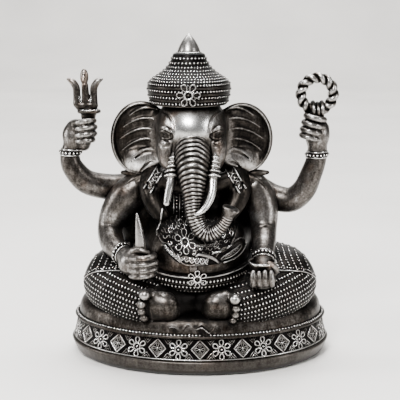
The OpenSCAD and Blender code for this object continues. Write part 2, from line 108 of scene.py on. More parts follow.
class Field:
    """Signed distance samples over a box."""

    def __init__(self, low, high, step=0.5):
        self.low, self.step = np.array(low, float), step * COARSE
        self.n = np.ceil((np.array(high, float) - self.low) / self.step).astype(int) + 1
        self.d = np.full(self.n, FAR, np.float32)

    def merge(self, low, high, distance, k, carve=False):
        """Adds or carves what distance(x, y, z) gives between two corners, blended over k."""
        first = np.clip(np.floor((np.array(low) - self.low) / self.step).astype(int), 0, self.n)
        last = np.clip(np.ceil((np.array(high) - self.low) / self.step).astype(int) + 1, 0, self.n)
        x, y, z = ((self.low[i] + self.step * np.arange(first[i], last[i])).astype(np.float32) for i in range(3))
        d = distance(x[:, None, None], y[None, :, None], z[None, None, :])
        cut = tuple(slice(a, b) for a, b in zip(first, last))
        sign = -1 if carve else 1
        old = sign * self.d[cut]
        self.d[cut] = sign * (smooth_least(old, d, k) if k else np.minimum(old, d))

    def egg(self, at, half, k=2.0, turn=0.0, lean=0.0, tip=0.0, carve=False):
        """An ellipsoid, turned about Z, leant about X and tipped about Y by degrees."""
        at, half = np.array(at, float), np.array(half, float)

        def distance(*p):
            p = [q - c for q, c in zip(p, at)]
            for i, j, angle in ((0, 1, turn), (1, 2, lean), (2, 0, tip)):
                if angle:
                    c, s = math.cos(math.radians(angle)), math.sin(math.radians(angle))
                    p[i], p[j] = c * p[i] + s * p[j], c * p[j] - s * p[i]
            near = np.sqrt(sum((q / h) ** 2 for q, h in zip(p, half))) + 1e-6
            steep = np.sqrt(sum((q / h ** 2) ** 2 for q, h in zip(p, half))) + 1e-6
            return near * (near - 1) / steep

        reach = half.max() + k + 2
        self.merge(at - reach, at + reach, distance, k, carve)

    def limb(self, stations, k=2.0, steps=4, carve=False, flat=None):
        """A round limb through stations of x, y, z and radius. flat squeezes it along one axis by a factor."""
        p = curve(stations, steps)

        def distance(*at):
            best = None
            for a, b in zip(p[:-1], p[1:]):
                v = b[:3] - a[:3]
                span = float(np.linalg.norm(v))
                if span < 1e-6:
                    continue
                t = np.clip(sum((q - a[i]) * v[i] for i, q in enumerate(at)) / span ** 2, 0, 1)
                gap = [q - a[i] - t * v[i] for i, q in enumerate(at)]
                if flat:
                    gap[flat[0]] = gap[flat[0]] * flat[1]
                d = np.sqrt(sum(g ** 2 for g in gap)) - (a[3] + t * (b[3] - a[3]))
                best = d if best is None else np.minimum(best, d)
            return best

        reach = p[:, 3].max() + k + 2
        self.merge(p[:, :3].min(0) - reach, p[:, :3].max(0) + reach, distance, k, carve)

    def sample(self, p):
        """The distance at any points, by trilinear interpolation."""
        q = np.clip((np.asarray(p, float) - self.low) / self.step, 0, self.n - 1.001)
        i = q.astype(int)
        f = q - i
        total = 0.0
        for corner in np.ndindex(2, 2, 2):
            w = np.abs(1 - np.array(corner) - f).prod(-1)
            total = total + w * self.d[tuple(np.moveaxis(i + corner, -1, 0))]
        return total

    def slope(self, p, h=0.6):
        """Unit outward direction at points near the skin."""
        return unit(np.stack([self.sample(p + h * e) - self.sample(p - h * e) for e in np.eye(3)], -1))

    def cast(self, start, way, reach, step=0.4, last=False):
        """Points where rays from start along way first enter the form, or leave it for good with last.
        Rays that miss give nan."""
        start, way = np.broadcast_arrays(np.asarray(start, float), np.asarray(way, float))
        t = np.arange(0, reach, step)
        d = self.sample(start[:, None, :] + t[None, :, None] * way[:, None, :])
        inside = d < 0
        if last:
            hit = inside.shape[1] - 1 - np.argmax(inside[:, ::-1], 1)
            other = np.minimum(hit + 1, len(t) - 1)
        else:
            hit = np.argmax(inside, 1)
            other = np.maximum(hit - 1, 0)
        rows = np.arange(len(d))
        a, b = d[rows, hit], d[rows, other]
        f = np.clip(a / np.where(np.abs(a - b) < 1e-6, 1e-6, a - b), 0, 1)
        out = start + (t[hit] + f * (t[other] - t[hit]))[:, None] * way
        out[~inside.any(1)] = np.nan
        return out

    def skin(self):
        """Vertices and quads of the surface where the distance is zero."""
        d = self.d
        inside = d < 0
        corners = list(np.ndindex(2, 2, 2))
        nx, ny, nz = d.shape
        count = sum(inside[i:nx - 1 + i, j:ny - 1 + j, k:nz - 1 + k].astype(np.uint8) for i, j, k in corners)
        cell = np.stack(np.nonzero((count > 0) & (count < 8)), -1)
        index = np.full(count.shape, -1, np.int64)
        index[tuple(cell.T)] = np.arange(len(cell))
        total, hits = np.zeros((len(cell), 3)), np.zeros(len(cell))
        for a in corners:
            for axis in range(3):
                if a[axis]:
                    continue
                b = np.array(a)
                b[axis] = 1
                da, db = d[tuple((cell + a).T)], d[tuple((cell + b).T)]
                crossed = (da < 0) != (db < 0)
                p = a + (da / np.where(crossed, da - db, 1))[:, None] * (b - a)
                total += np.where(crossed[:, None], p, 0)
                hits += crossed
        quads = []
        for axis in range(3):
            u, v = (axis + 1) % 3, (axis + 2) % 3
            low, high = [slice(1, -1)] * 3, [slice(1, -1)] * 3
            low[axis], high[axis] = slice(0, -1), slice(1, None)
            sign = inside[tuple(low)].astype(int) - inside[tuple(high)].astype(int)
            at = np.stack(np.nonzero(sign), -1)
            way = sign[tuple(at.T)]
            ring = []
            for du, dv in ((0, 0), (1, 0), (1, 1), (0, 1)):
                c = at.copy()
                c[:, u] += du
                c[:, v] += dv
                ring.append(index[tuple(c.T)])
            ring = np.stack(ring, -1)
            ring[way < 0] = ring[way < 0][:, ::-1]
            quads.append(ring)
        return self.low + self.step * (cell + total / hits[:, None]), np.concatenate(quads)


# ---- meshes, wires and beads


class Mesh:
    """Collects vertices, faces and a tone for each vertex."""

    def __init__(self):
        self.verts, self.quads, self.tris, self.tones, self.n = [], [], [], [], 0

    def add(self, verts, quads=None, tris=None, tone=0.5):
        verts = np.asarray(verts, float)
        for faces, kept in ((quads, self.quads), (tris, self.tris)):
            if faces is not None:
                kept.append(np.asarray(faces) + self.n)
        self.verts.append(verts)
        tone = tone(verts) if callable(tone) else tone
        self.tones.append(np.broadcast_to(np.asarray(tone, float), (len(verts),)))
        self.n += len(verts)
        return self

    def skin(self, form, tone=0.5):
        return self.add(*form.skin(), tone=tone)

    def tube(self, rings, tone=0.5, closed=False, ends=None):
        """A skin over equal rings of points. closed joins the last ring to the first, and ends are the two
        points that close the outer rings."""
        n, sides = rings.shape[:2]
        verts, tris = rings.reshape(-1, 3), None
        s = np.arange(sides)
        t = (s + 1) % sides
        a = np.arange(n if closed else n - 1)[:, None] * sides
        b = (a + sides) % (n * sides)
        quads = np.stack([a + s, a + t, b + t, b + s], -1).reshape(-1, 4)
        if ends is not None:
            verts = np.concatenate([verts, ends])
            last = (n - 1) * sides
            tris = np.concatenate([np.stack([t, s, 0 * s + n * sides], -1),
                                   np.stack([last + s, last + t, 0 * s + n * sides + 1], -1)])
        return self.add(verts, quads, tris, tone)

    def wire(self, points, radius, closed=False, sides=6, tone=0.9):
        """A round wire along points; blanks among them are passed over."""
        points = np.asarray(points, float)
        good = ~np.isnan(points).any(1)
        radius = np.broadcast_to(np.asarray(radius, float), (len(points),))[good]
        points = points[good]
        if len(points) < 2:
            return self
        ways = np.roll(points, -1, 0) - np.roll(points, 1, 0) if closed else np.gradient(points, axis=0)
        ways = unit(ways)
        side = unit(np.cross(ways, [0.31, 0.94, 0.13]))
        up = np.cross(side, ways)
        turn = turns(sides)[None, :, None]
        ring = side[:, None] * np.cos(turn) + up[:, None] * np.sin(turn)
        return self.tube(points[:, None] + ring * radius[:, None, None], tone, closed,
                         None if closed else points[[0, -1]])

    def beads(self, points, radius, tone=1.0, out=None, along=None, stretch=1.5):
        """A bead at each point. With out, the outward direction there, only the bead's crown is rubbed bright.
        With along, the row's direction there, the beads are longer across the row."""
        points = np.asarray(points, float).reshape(-1, 3)
        keep = ~np.isnan(points).any(1)
        points = points[keep]
        if not len(points):
            return
        ball, faces = BEAD
        bodies = np.broadcast_to(ball[None], (len(points), *ball.shape))
        if along is not None:
            across = unit(np.cross(out, along))
            bodies = bodies + (stretch - 1) * (bodies * across[:, None]).sum(-1, keepdims=True) * across[:, None]
        verts = (bodies * radius + points[:, None]).reshape(-1, 3)
        tris = (faces[None] + len(ball) * np.arange(len(points))[:, None, None]).reshape(-1, 3)
        if out is not None:
            out = np.asarray(out, float).reshape(-1, 3)
            out = out[keep] if len(out) == len(keep) else np.broadcast_to(out, (len(points), 3))
            facing = (ball[None] * out[:, None]).sum(-1)
            tone = (tone * np.clip(-0.75 + 1.95 * facing, -0.15, 1.1)).ravel()
        self.add(verts, tris=tris, tone=tone)

    def lathe(self, outline, at, sides=96, tone=0.5):
        """Turns an outline of radius and height about the Z axis at a place."""
        r, z = np.array(outline, float).T[:, :, None]
        turn = turns(sides)
        rings = np.stack([at[0] + r * np.cos(turn), at[1] + r * np.sin(turn), z + 0 * turn], -1)
        return self.tube(rings, np.repeat(np.asarray(tone, float), sides) if np.ndim(tone) else tone)

    def loft(self, rings, tone=0.5, sides=180, close=True):
        """Ovals stacked into a body: each is a height, half width, half depth and the centre's y."""
        z, a, b, y = np.array([(*r, 0)[:4] for r in rings], float).T[:, :, None]
        turn = turns(sides)
        verts = np.stack([a * np.cos(turn), y + b * np.sin(turn), z + 0 * turn], -1)
        ends = [[0, y[i, 0], z[i, 0]] for i in (0, -1)]
        return self.tube(verts, tone, False, ends if close else None)

    def make(self, name, finish):
        """The Blender object, which stands for the CAD node of the same name."""
        verts = np.concatenate(self.verts) * MM
        mesh = bpy.data.meshes.new(name)
        quads, tris = (np.concatenate([np.zeros((0, k), int)] + f) for k, f in ((4, self.quads), (3, self.tris)))
        corners = np.concatenate([quads.ravel(), tris.ravel()])
        sizes = np.repeat([4, 3], [len(quads), len(tris)])
        mesh.vertices.add(len(verts))
        mesh.vertices.foreach_set("co", verts.astype(np.float32).ravel())
        mesh.loops.add(len(corners))
        mesh.loops.foreach_set("vertex_index", corners.astype(np.int32))
        mesh.polygons.add(len(sizes))
        mesh.polygons.foreach_set("loop_start", (np.cumsum(sizes) - sizes).astype(np.int32))
        mesh.update(calc_edges=True)
        mesh.validate()
        mesh.polygons.foreach_set("use_smooth", np.ones(len(mesh.polygons), bool))
        tone = mesh.attributes.new("tone", "FLOAT", "POINT")
        tone.data.foreach_set("value", np.concatenate(self.tones).astype(np.float32))
        slot, material = finish
        mesh.materials.append(material)
        obj = placed(name, mesh)
        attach(obj, "root")
        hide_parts(name)


def placed(name, data):
    """A new object in the scene."""
    obj = bpy.data.objects.new(name, data)
    bpy.context.scene.collection.objects.link(obj)
    return obj


def unit_ball(sides=7, levels=5):
    """A small ball of triangles, radius 1, as poles with rings between."""
    verts, faces = [(0, 0, 1)], []
    for i in range(1, levels):
        a = math.pi * i / levels
        verts += [(math.sin(a) * math.cos(t), math.sin(a) * math.sin(t), math.cos(a)) for t in turns(sides, 0.5 * i)]
    verts.append((0, 0, -1))
    for k in range(sides):
        n = (k + 1) % sides
        faces.append((0, 1 + k, 1 + n))
        for i in range(levels - 2):
            a, b = 1 + i * sides, 1 + (i + 1) * sides
            faces += [(a + k, b + k, a + n), (a + n, b + k, b + n)]
        last = 1 + (levels - 2) * sides
        faces.append((last + k, len(verts) - 1, last + n))
    return np.array(verts, float), np.array(faces)


BEAD = unit_ball()


def spaced(points, pitch, closed=False):
    """Points at equal steps of about pitch along a polyline."""
    points = np.asarray(points, float)
    points = points[~np.isnan(points).any(1)]
    if len(points) < 2:
        return points
    if closed:
        points = np.concatenate([points, points[:1]])
    run = length_along(points)
    at = np.linspace(0, run[-1], max(int(round(run[-1] / pitch)), 1) + 1)
    return np.stack([np.interp(at[:-1] if closed else at, run, points[:, i]) for i in range(3)], -1)


def length_along(points):
    """The run along a polyline at each of its points."""
    return np.concatenate([[0], np.cumsum(np.linalg.norm(np.diff(points, axis=0), axis=1))])


def ring_of(field, centre, u, v, reach, n=240):
    """Where a plane through centre, spanned by u and v, cuts the outside of a form."""
    turn = turns(n)[:, None]
    return field.cast(vec(*centre)[None], np.cos(turn) * vec(*u) + np.sin(turn) * vec(*v), reach, last=True)


def on_front(field, points, lift=0.0):
    """Lays points, given as x and z, on the front of a form as seen along +Y."""
    x, z = np.asarray(points, float).T
    hit = field.cast(np.stack([x, 0 * x - 80, z], -1), vec(0, 1, 0)[None], 90)
    good = ~np.isnan(hit).any(1)
    if lift and good.any():
        hit[good] += lift * field.slope(hit[good])
    return hit


def circle(centre, r, n):
    """Points in the plane round a centre."""
    return np.stack([centre[0] + r * np.cos(turns(n)), centre[1] + r * np.sin(turns(n))], -1)


def petal(centre, angle, inner, outer, width, n=14):
    """A petal's outline in the plane, from inner to outer radius."""
    t = turns(n)
    r = (inner + outer) / 2 + (outer - inner) / 2 * np.cos(t)
    w = width / 2 * np.sin(t) * (1 + 0.25 * np.cos(t))
    c, s = math.cos(angle), math.sin(angle)
    return np.stack([centre[0] + r * c - w * s, centre[1] + r * s + w * c], -1)


def flower_outlines(centre, size, start=math.pi / 6, petals=6, eye=0.34):
    """Outlines of a filigree flower: its eye and its petals."""
    return [circle(centre, eye * size, 16)] + [petal(centre, a, eye * size + 0.3, size, 0.44 * size)
                                               for a in start + turns(petals)]


# ---- materials


class Graph:
    """A new material and the making of its nodes."""

    def __init__(self, name):
        self.material = bpy.data.materials.new(name)
        self.material.use_nodes = True
        self.tree = self.material.node_tree
        self.tree.nodes.clear()
        self.where = self.node("TexCoord").outputs["Object"]

    def node(self, kind, **values):
        """A node whose attributes or inputs have values. A socket as a value is linked, and an underscore
        stands for the space in an input's name."""
        n = self.tree.nodes.new("ShaderNode" + kind)
        for key, value in values.items():
            socket = n.inputs.get(key.replace("_", " "))
            if socket is None:
                setattr(n, key, value)
            elif isinstance(value, bpy.types.NodeSocket):
                self.tree.links.new(value, socket)
            else:
                socket.default_value = value
        return n

    def math(self, op, *values, clamp=False):
        n = self.node("Math", operation=op, use_clamp=clamp)
        for socket, value in zip(n.inputs, values):
            if isinstance(value, bpy.types.NodeSocket):
                self.tree.links.new(value, socket)
            else:
                socket.default_value = value
        return n.outputs[0]

    def noise(self, scale, detail, stretch=None, **more):
        where = self.where
        if stretch:
            where = self.node("Mapping", Scale=stretch, Vector=where).outputs["Vector"]
        return self.node("TexNoise", Scale=scale, Detail=detail, Vector=where, **more).outputs["Fac"]

    def finish(self, colour, rough, bump, **values):
        """The shader with its colour, roughness and bump, and the output."""
        shader = self.node("BsdfPrincipled", Base_Color=colour, Roughness=rough.outputs["Result"],
                           Normal=bump.outputs["Normal"], **values)
        self.node("OutputMaterial", Surface=shader.outputs["BSDF"])
        return self.material


# How much silver shows gives the colour: near-black ground, dark patina, dull silver and bright silver.
PATINA = ((0.05, (0.004, 0.0036, 0.0034, 1)), (0.22, (0.023, 0.0195, 0.0165, 1)), (0.45, (0.104, 0.094, 0.086, 1)),
          (0.7, (0.385, 0.372, 0.358, 1)), (1.0, (0.88, 0.88, 0.87, 1)))
COPPERY = (0.86, 0.58, 0.42, 1)


def antique_silver(name, shade=0.0, polish=0.0, warm=0.5, mottling=0.7):
    """Cast resin under dark patina and rubbed silver. The vertex tone, which on some parts holds painted highlight and
    shade, the hollows and the sharp outer edges decide how much silver shows."""
    g = Graph(name)
    tone = g.node("Attribute", attribute_name="tone").outputs["Fac"]
    hollow, crease, edge = (g.node("AmbientOcclusion", samples=8, inside=inner, Distance=reach * MM).outputs["AO"]
                            for reach, inner in ((5.0, False), (1.3, False), (0.9, True)))
    broad, fine, streak = (g.noise(*how, Roughness=0.6) for how in ((90, 3), (900, 4), (420, 5, (1, 1, 0.25))))

    open_part = g.math("MULTIPLY", g.math("POWER", hollow, 1.3), g.math("POWER", crease, 1.6))
    worn = g.math("MULTIPLY_ADD", g.math("SUBTRACT", 1.0, edge), 0.22, shade)
    mottle = g.math("MULTIPLY", g.math("SUBTRACT", broad, 0.5), 0.8 * mottling)
    grain = g.math("MULTIPLY", g.math("SUBTRACT", g.math("ADD", streak, fine), 1.0), 0.75 * mottling)
    level = g.math("ADD", g.math("ADD", tone, worn), g.math("ADD", mottle, grain))
    level = g.math("MULTIPLY", level, open_part, clamp=True)

    colours = g.node("ValToRGB", Fac=level)
    stops = colours.color_ramp.elements
    for at, colour in PATINA:
        stop = stops[0] if at == PATINA[0][0] else stops[-1] if at == PATINA[-1][0] else stops.new(at)
        stop.position, stop.color = at, colour

    # Here and there the silver is rubbed through to a coppery brown ground.
    rust = g.math("SUBTRACT", g.noise(60, 2, Roughness=0.6), 0.56, clamp=True)
    rust = g.math("MULTIPLY", rust, 5.0 * warm, clamp=True)
    tint = g.node("Mix", data_type="RGBA", blend_type="MULTIPLY", Factor=rust, A=colours.outputs["Color"], B=COPPERY)
    shine = g.math("ADD", level, g.math("MULTIPLY", g.math("SUBTRACT", fine, 0.5), 0.4))
    rough = g.node("MapRange", Value=shine, To_Min=0.42, To_Max=0.25 - 0.04 * polish)
    brushed = g.math("ADD", g.math("MULTIPLY", fine, 0.6), g.math("MULTIPLY", streak, 0.7))
    bump = g.node("Bump", Strength=0.35, Distance=0.12 * MM, Height=brushed)
    return g.finish(tint.outputs["Result"], rough, bump, Metallic=0.97, Specular_IOR_Level=0.2)


def plain_material(name, colour, roughness, metallic=0.0, grain=300.0, depth=0.1):
    """One colour with a little variation, wear and bump."""
    g = Graph(name)
    noise = g.noise(grain, 5)
    colours = g.node("ValToRGB", Fac=noise)
    for stop, share in zip(colours.color_ramp.elements, (0.8, 1.15)):
        stop.color = tuple(min(c * share, 1) for c in colour) + (1,)
    rough = g.node("MapRange", Value=noise, To_Min=roughness - 0.06, To_Max=min(roughness + 0.06, 1))
    bump = g.node("Bump", Strength=0.4, Distance=depth * MM, Height=noise)
    return g.finish(colours.outputs["Color"], rough, bump, Metallic=metallic)


# A finish is a slot of the record and its material.
SMOOTH, PATTERN, BRIGHT = ((slot, antique_silver(slot, *look)) for slot, *look in (
    ("antique_silver", 0.0, 0.6, 0.8), ("patterned_silver", 0.0, 0.2, 0.35, 0.35),
    ("bright_silver", 0.05, 1.0, 0.25, 0.4)))
FELT = "felt", plain_material("felt", (0.02, 0.02, 0.022), 0.95, grain=1500, depth=0.3)
STEEL = "pin_steel", plain_material("pin_steel", (0.5, 0.5, 0.52), 0.35, 1.0)


def sculpted(name, form, tone, finish=SMOOTH):
    """A piece that is only its form's skin."""
    Mesh().skin(form, tone).make(name, finish)


# ---- plinth and seat


class Oval:
    """An upright face that follows an ellipse at each height. Places on it are a run along it and a height."""

    def __init__(self, *stations):
        # Each station is a height with the half width and half depth there.
        self.z, self.a, self.b = (np.array(v, float) for v in zip(*stations))
        self.turn = np.linspace(-np.pi / 2, 1.5 * np.pi, 1441)
        self.run = length_along(np.stack([self.a.mean() * np.cos(self.turn), self.b.mean() * np.sin(self.turn)], -1))
        self.round = self.run[-1]

    def at(self, s, z, lift=0.0):
        s, z = np.broadcast_arrays(np.asarray(s, float), np.asarray(z, float))
        turn = np.interp(s % self.round, self.run, self.turn)
        a, b = np.interp(z, self.z, self.a), np.interp(z, self.z, self.b)
        out = unit(np.stack([np.cos(turn) / a, np.sin(turn) / b], -1))
        return np.stack([a * np.cos(turn) + lift * out[..., 0], b * np.sin(turn) + lift * out[..., 1], z], -1)


def extent(name):
    """A node's lowest and highest level, its half width and its half depth."""
    low, high = node_box(name)
    return low[2], high[2], (high[0] - low[0]) / 2, (high[1] - low[1]) / 2


def plinth():
    bottom, band_top, half_w, half_d = extent("plinth")
    foot_top, band_low = bottom + 8.5, bottom + 9.8
    m = Mesh()
    # The foot swells a little, then the band stands back from it and leans in to the top.
    foot = [(bottom, half_w - 4.6, half_d - 5.4), (bottom + 0.5, half_w - 3.9, half_d - 4.7)]
    foot += [(bottom + 0.5 + 7.4 * t, half_w - 3.9 + 3.5 * t ** 0.75, half_d - 4.7 + 4.2 * t ** 0.75)
             for t in np.linspace(0.1, 1, 9)]
    foot += [(foot_top, half_w - 0.2, half_d - 0.3), (foot_top + 0.7, half_w - 0.5, half_d - 0.6),
             (foot_top + 1.1, half_w - 1.3, half_d - 1.4)]
    face_low = (band_low, half_w - 1.9, half_d - 2.0)
    face_high = (band_top - 0.3, half_w - 5.0, half_d - 5.4)
    m.loft(foot + [face_low, face_high, (band_top, half_w - 6.0, half_d - 6.4)], 0.30, 240)
    face = Oval(face_low, face_high)
    mid = (band_low + band_top) / 2
    # A shallow dark panel lies behind the pattern.
    m.loft([(z, float(np.interp(z, face.z, face.a)) + 0.12, float(np.interp(z, face.z, face.b)) + 0.12)
            for z in np.linspace(band_low + 0.5, band_top - 0.5, 12)], -0.25, 240)
    pairs = 16
    pitch = face.round / pairs

    def draw(outline, radius=0.36, closed=True, tone=0.62):
        outline = np.asarray(outline, float)
        m.wire(face.at(outline[:, 0], outline[:, 1], 0.2), radius, closed, 5, tone)

    def diamond(s, z, w, h):
        corners = np.array([(s - w, z), (s, z + h), (s + w, z), (s, z - h)])
        return np.concatenate([np.linspace(corners[i], corners[(i + 1) % 4], 5)[:-1] for i in range(4)])

    for i in range(pairs):
        s = i * pitch
        draw(diamond(s, mid, 5.1, 5.3), 0.42)
        draw(diamond(s, mid, 3.7, 3.9), 0.24, tone=0.45)
        for k in range(4):
            draw(petal((s, mid), k * np.pi / 2, 0.7, 2.9, 1.3, 10), 0.2, tone=0.5)
        m.beads(face.at([s], [mid], 0.3), 0.5)
        f = s + pitch / 2
        for outline in flower_outlines((f, mid - 0.2), 5.6):
            draw(outline, 0.4, tone=0.7)
        m.beads(face.at([f], [mid - 0.2], 0.3), 0.6)
        # Chevrons fill the corners, pointing up from the foot and down from the top.
        for c in (s - pitch / 4, s + pitch / 4):
            for rise, z in ((3.0, band_low + 1.2), (1.5, band_low + 1.0), (-2.8, band_top - 1.3),
                            (-1.4, band_top - 1.1)):
                w = 0.8 * abs(rise)
                draw([(c - w, z), (c, z + rise), (c + w, z)], 0.26, False)
    s = np.linspace(0, face.round, 361)[:-1]
    m.wire(face.at(s, band_low + 0.55, 0.2), 0.42, True, 6, 0.6)
    m.wire(face.at(s, band_top - 0.55, 0.2), 0.36, True, 6, 0.5)
    m.make("plinth", PATTERN)


def bead_rim():
    low, high, half_w, half_d = extent("bead_rim")
    body = [(low + 0.02, half_w - 0.4, half_d - 0.4), (low + 0.9, half_w, half_d),
            (low + 1.5, half_w - 0.4, half_d - 0.4), (low + 1.6, half_w - 3.2, half_d - 3.2),
            (low + 0.02, half_w - 3.6, half_d - 3.6)]
    m = Mesh().loft(body + body[:1], 0.2, 240, close=False)
    ring = Oval((low, half_w - 1.6, half_d - 1.6), (high, half_w - 1.6, half_d - 1.6))
    n = int(ring.round / 2.1)
    # Painted highlight: every bead is bright on its upper front side, the same side all round the rim.
    m.beads(ring.at(ring.round * np.arange(n) / n, low + 1.5), 0.9, 0.9, (0, -0.6, 0.8))
    m.make("bead_rim", PATTERN)


def seat():
    """A flat margin inside the rim, then a soft mound under the figure."""
    low, high, half_w, half_d = extent("seat")
    y = sum(node_box("seat"))[1] / 2
    rings = [(low + 0.02, half_w, half_d, y)]
    rings += [(low + 0.3 + (high - low - 0.3) * (1 - (1 - k) ** 2.2) ** 0.9, half_w - 11 * k ** 2.0,
               half_d - 13 * k ** 2.0, y + 2.0 * k) for k in np.linspace(0, 1, 22)]

    def tone(v):
        # Painted shade: the ground under and around the figure is painted dark, and only the outer margin is lighter.
        return 0.26 * ramp(np.hypot(v[:, 0] / half_w, (v[:, 1] - y) / half_d), 0.9, 0.98)

    Mesh().loft(rings, tone, 200).make("seat", SMOOTH)


def felt_pad():
    low, high, half_w, half_d = extent("felt_pad")
    Mesh().loft([(low, half_w - 0.1, half_d - 0.1), (low + 0.15, half_w, half_d), (high - 0.1, half_w, half_d),
                 (high, half_w - 0.1, half_d - 0.1)]).make("felt_pad", FELT)


def pins():
    """Steel pins inside the figure, hidden when it is whole."""
    low, high = node_box("arm_pins")
    (y, z), r, length = ((low + high) / 2)[1:], 1.5, 14
    m = Mesh()
    for x0, x1 in ((low[0], low[0] + length), (high[0] - length, high[0])):
        m.wire([(x0 + r * 0.3, y, z), (x1 - r * 0.3, y, z)], r, False, 20, 0.9)
    m.make("arm_pins", STEEL)
    low, high = node_box("neck_pin")
    r = (high[0] - low[0]) / 2
    outline = [(0.01, low[2]), (r - 0.2, low[2]), (r, low[2] + 0.3), (r, high[2] - 0.3), (r - 0.2, high[2]),
               (0.01, high[2])]
    Mesh().lathe(outline, (low + high) / 2, 24).make("neck_pin", STEEL)


# ---- body


def torso_form():
    f = Field((-52, -54, 22), (46, 40, 126), 0.8)
    f.egg((-3, -8, 69), (33, 37.5, 24), 0)
    f.egg((-3, 6, 50), (40, 26, 16), 6)
    f.egg((-3, -6, 56.5), (37, 36.5, 12.5), 4)
    f.egg((-3, 2, 98), (28, 18, 17), 8)
    # Flanks under the arms.
    f.egg((-6, 6, 78), (45, 17, 27), 6)
    for x in (-30, 24):
        f.egg((x, 0, 104), (10.5, 10.5, 10.5), 5)
    f.limb([(-3, 0, 108, 15), (-3, -2, 124, 14)], 5)
    return f


def cover(form, lift, mask, thick=2.5):
    """A layer lying on a form, lift above it, where mask(x, y, z) is below zero."""
    f = Field.__new__(Field)
    f.low, f.step, f.n = form.low, form.step, form.n
    x, y, z = (form.low[i] + form.step * np.arange(form.n[i]) for i in range(3))
    x, y, z = x[:, None, None], y[None, :, None], z[None, None, :]
    shell = np.maximum(form.d - lift, -(form.d + thick))
    inside = mask(x, y, z) + 0 * shell
    f.d = (-smooth_least(-shell, -inside, 0.8)).astype(np.float32)
    return f


def wire_on(mesh, form, points, radius=0.36, closed=False, lift=0.05, tone=0.62, steps=6, smooth=True):
    """A wire laid on the front of a form through points of x and z."""
    line = curve(points, steps, closed) if smooth else np.asarray(points, float)
    mesh.wire(on_front(form, line, lift), radius, closed, 5, tone)


def on_top(forms, points, lift=0.0, steps=6):
    """A line through points of x and z, laid on whichever of the forms stands furthest forward."""
    line = curve(points, steps)
    hits = [on_front(f, line, lift) for f in forms]
    depth = [np.where(np.isnan(h[:, 1]), 99, h[:, 1]) for h in hits]
    first = np.argmin(depth, axis=0)
    return np.stack(hits)[first, np.arange(len(line))]


def clear(points, *forms, gap=0.0):
    """Blanks the points that lie inside any of the forms."""
    points = np.array(points, float)
    ok = ~np.isnan(points).any(1)
    for f in forms:
        inside = ((points > f.low) & (points < f.low + f.step * (f.n - 1))).all(1) & ok
        bad = np.zeros(len(points), bool)
        bad[inside] = f.sample(points[inside]) < gap
        points[bad] = np.nan
    return points


def pieces_of(points):
    """Splits a line at its blanks."""
    points = np.asarray(points)
    ok = ~np.isnan(points).any(1)
    out, start = [], None
    for i, good in enumerate(ok):
        if good and start is None:
            start = i
        if not good and start is not None:
            out.append(points[start:i])
            start = None
    if start is not None:
        out.append(points[start:])
    if len(out) > 1 and ok[0] and ok[-1]:
        out[0] = np.concatenate([out.pop(), out[0]])
    return [p for p in out if len(p) > 2]


def beaded_rows(mesh, form, centre, across, u, v, offsets, hide, bead=0.58, pitch=1.8, ridges=(-0.5,),
                ridge_r=0.28, row_pitch=3.0, reach=70, keep=None, ridge_tone=0.4):
    """Rows of beads where parallel planes cut a form, with thin ridges between the rows."""
    across = vec(*across)
    for offset in offsets:
        for kind, shift in [("beads", 0.0)] + [("ridge", r) for r in ridges]:
            at = vec(*centre) + across * (offset + shift * row_pitch)
            ring = ring_of(form, at, u, v, reach)
            if keep is not None:
                ring[~keep(ring)] = np.nan
            ring = clear(ring, *hide)
            for part in pieces_of(ring):
                if kind == "beads":
                    spots = spaced(part, pitch)
                    mesh.beads(spots, bead, 0.84, form.slope(spots), np.gradient(spots, axis=0))
                else:
                    mesh.wire(spaced(part, 1.6), ridge_r, False, 4, ridge_tone)


def leg_form(side):
    """A folded leg under the dhoti, side -1 for its right and +1 for its left."""
    x = -3
    f = Field((min(side * 76, -16), -54, 22), (max(side * 76, 16), 34, 76), 0.75)
    stations = [(x + side * 20, 10, 50, 19), (side * 38, 2, 49, 20), (side * 50.5, -12, 48.5, 20),
                (side * 38, -28, 44, 16), (side * 22, -34, 42, 12.5), (side * 6 + x, -30, 41, 11)]
    f.limb(stations, 0, steps=4)
    f.egg((side * 36, -12, 46), (32, 24, 17), 6)
    return f


def legs(torso, hide):
    forms = {}
    for side, name in ((-1, "right_leg"), (1, "left_leg")):
        f = forms[side] = leg_form(side)
        m = Mesh()
        m.skin(f, -0.12)
        # A curved seam crosses the top of each knee.
        seam = [(side * 71.5, 47.0), (side * 69.6, 51.5), (side * 66, 55.2), (side * 61, 58.0), (side * 54, 59.6),
                (side * 46, 60.4)]
        seam_x, seam_z = np.array(sorted((abs(x), z) for x, z in seam)).T

        def below(p):
            line = np.interp(np.abs(p[:, 0]), seam_x, seam_z, right=seam_z[-1])
            front = p[:, 1] < 2
            return (np.abs(p[:, 0] + 3) > 21) & ((p[:, 2] < line - 0.8) | ~front)

        def above(p):
            line = np.interp(np.abs(p[:, 0]), seam_x, seam_z, right=seam_z[-1])
            return (p[:, 2] > line + 0.8) & (p[:, 1] < 2) & (np.abs(p[:, 0]) > 30)

        def rows(tilt, keep, step, first, last):
            # Parallel cuts, square to a plane that leans outward by tilt.
            across = vec(side * -math.sin(tilt), -0.05, math.cos(tilt))
            across /= np.linalg.norm(across)
            v = vec(0, 1, 0) - across * across[1]
            v /= np.linalg.norm(v)
            u = np.cross(v, across)
            beaded_rows(m, f, (side * 42, -10, 46), across, u, v, np.arange(first, last, step), [torso] + hide,
                        bead=0.55, pitch=2.1, ridges=(0.4, 0.6), ridge_r=0.16, row_pitch=step,
                        keep=keep, ridge_tone=0.08)

        rows(math.radians(14), below, 2.95, -31, 32)
        rows(math.radians(-62), above, 3.0, -33, 36)
        wire_on(m, f, seam, 0.4, lift=0.15, tone=0.6)
        line = spaced(on_front(f, curve([(x, z + 1.3) for x, z in seam], 5), 0.1), 1.9)
        m.beads(line, 0.5, 0.9, f.slope(line))
        m.make(name, PATTERN)
    return forms


# ---- head


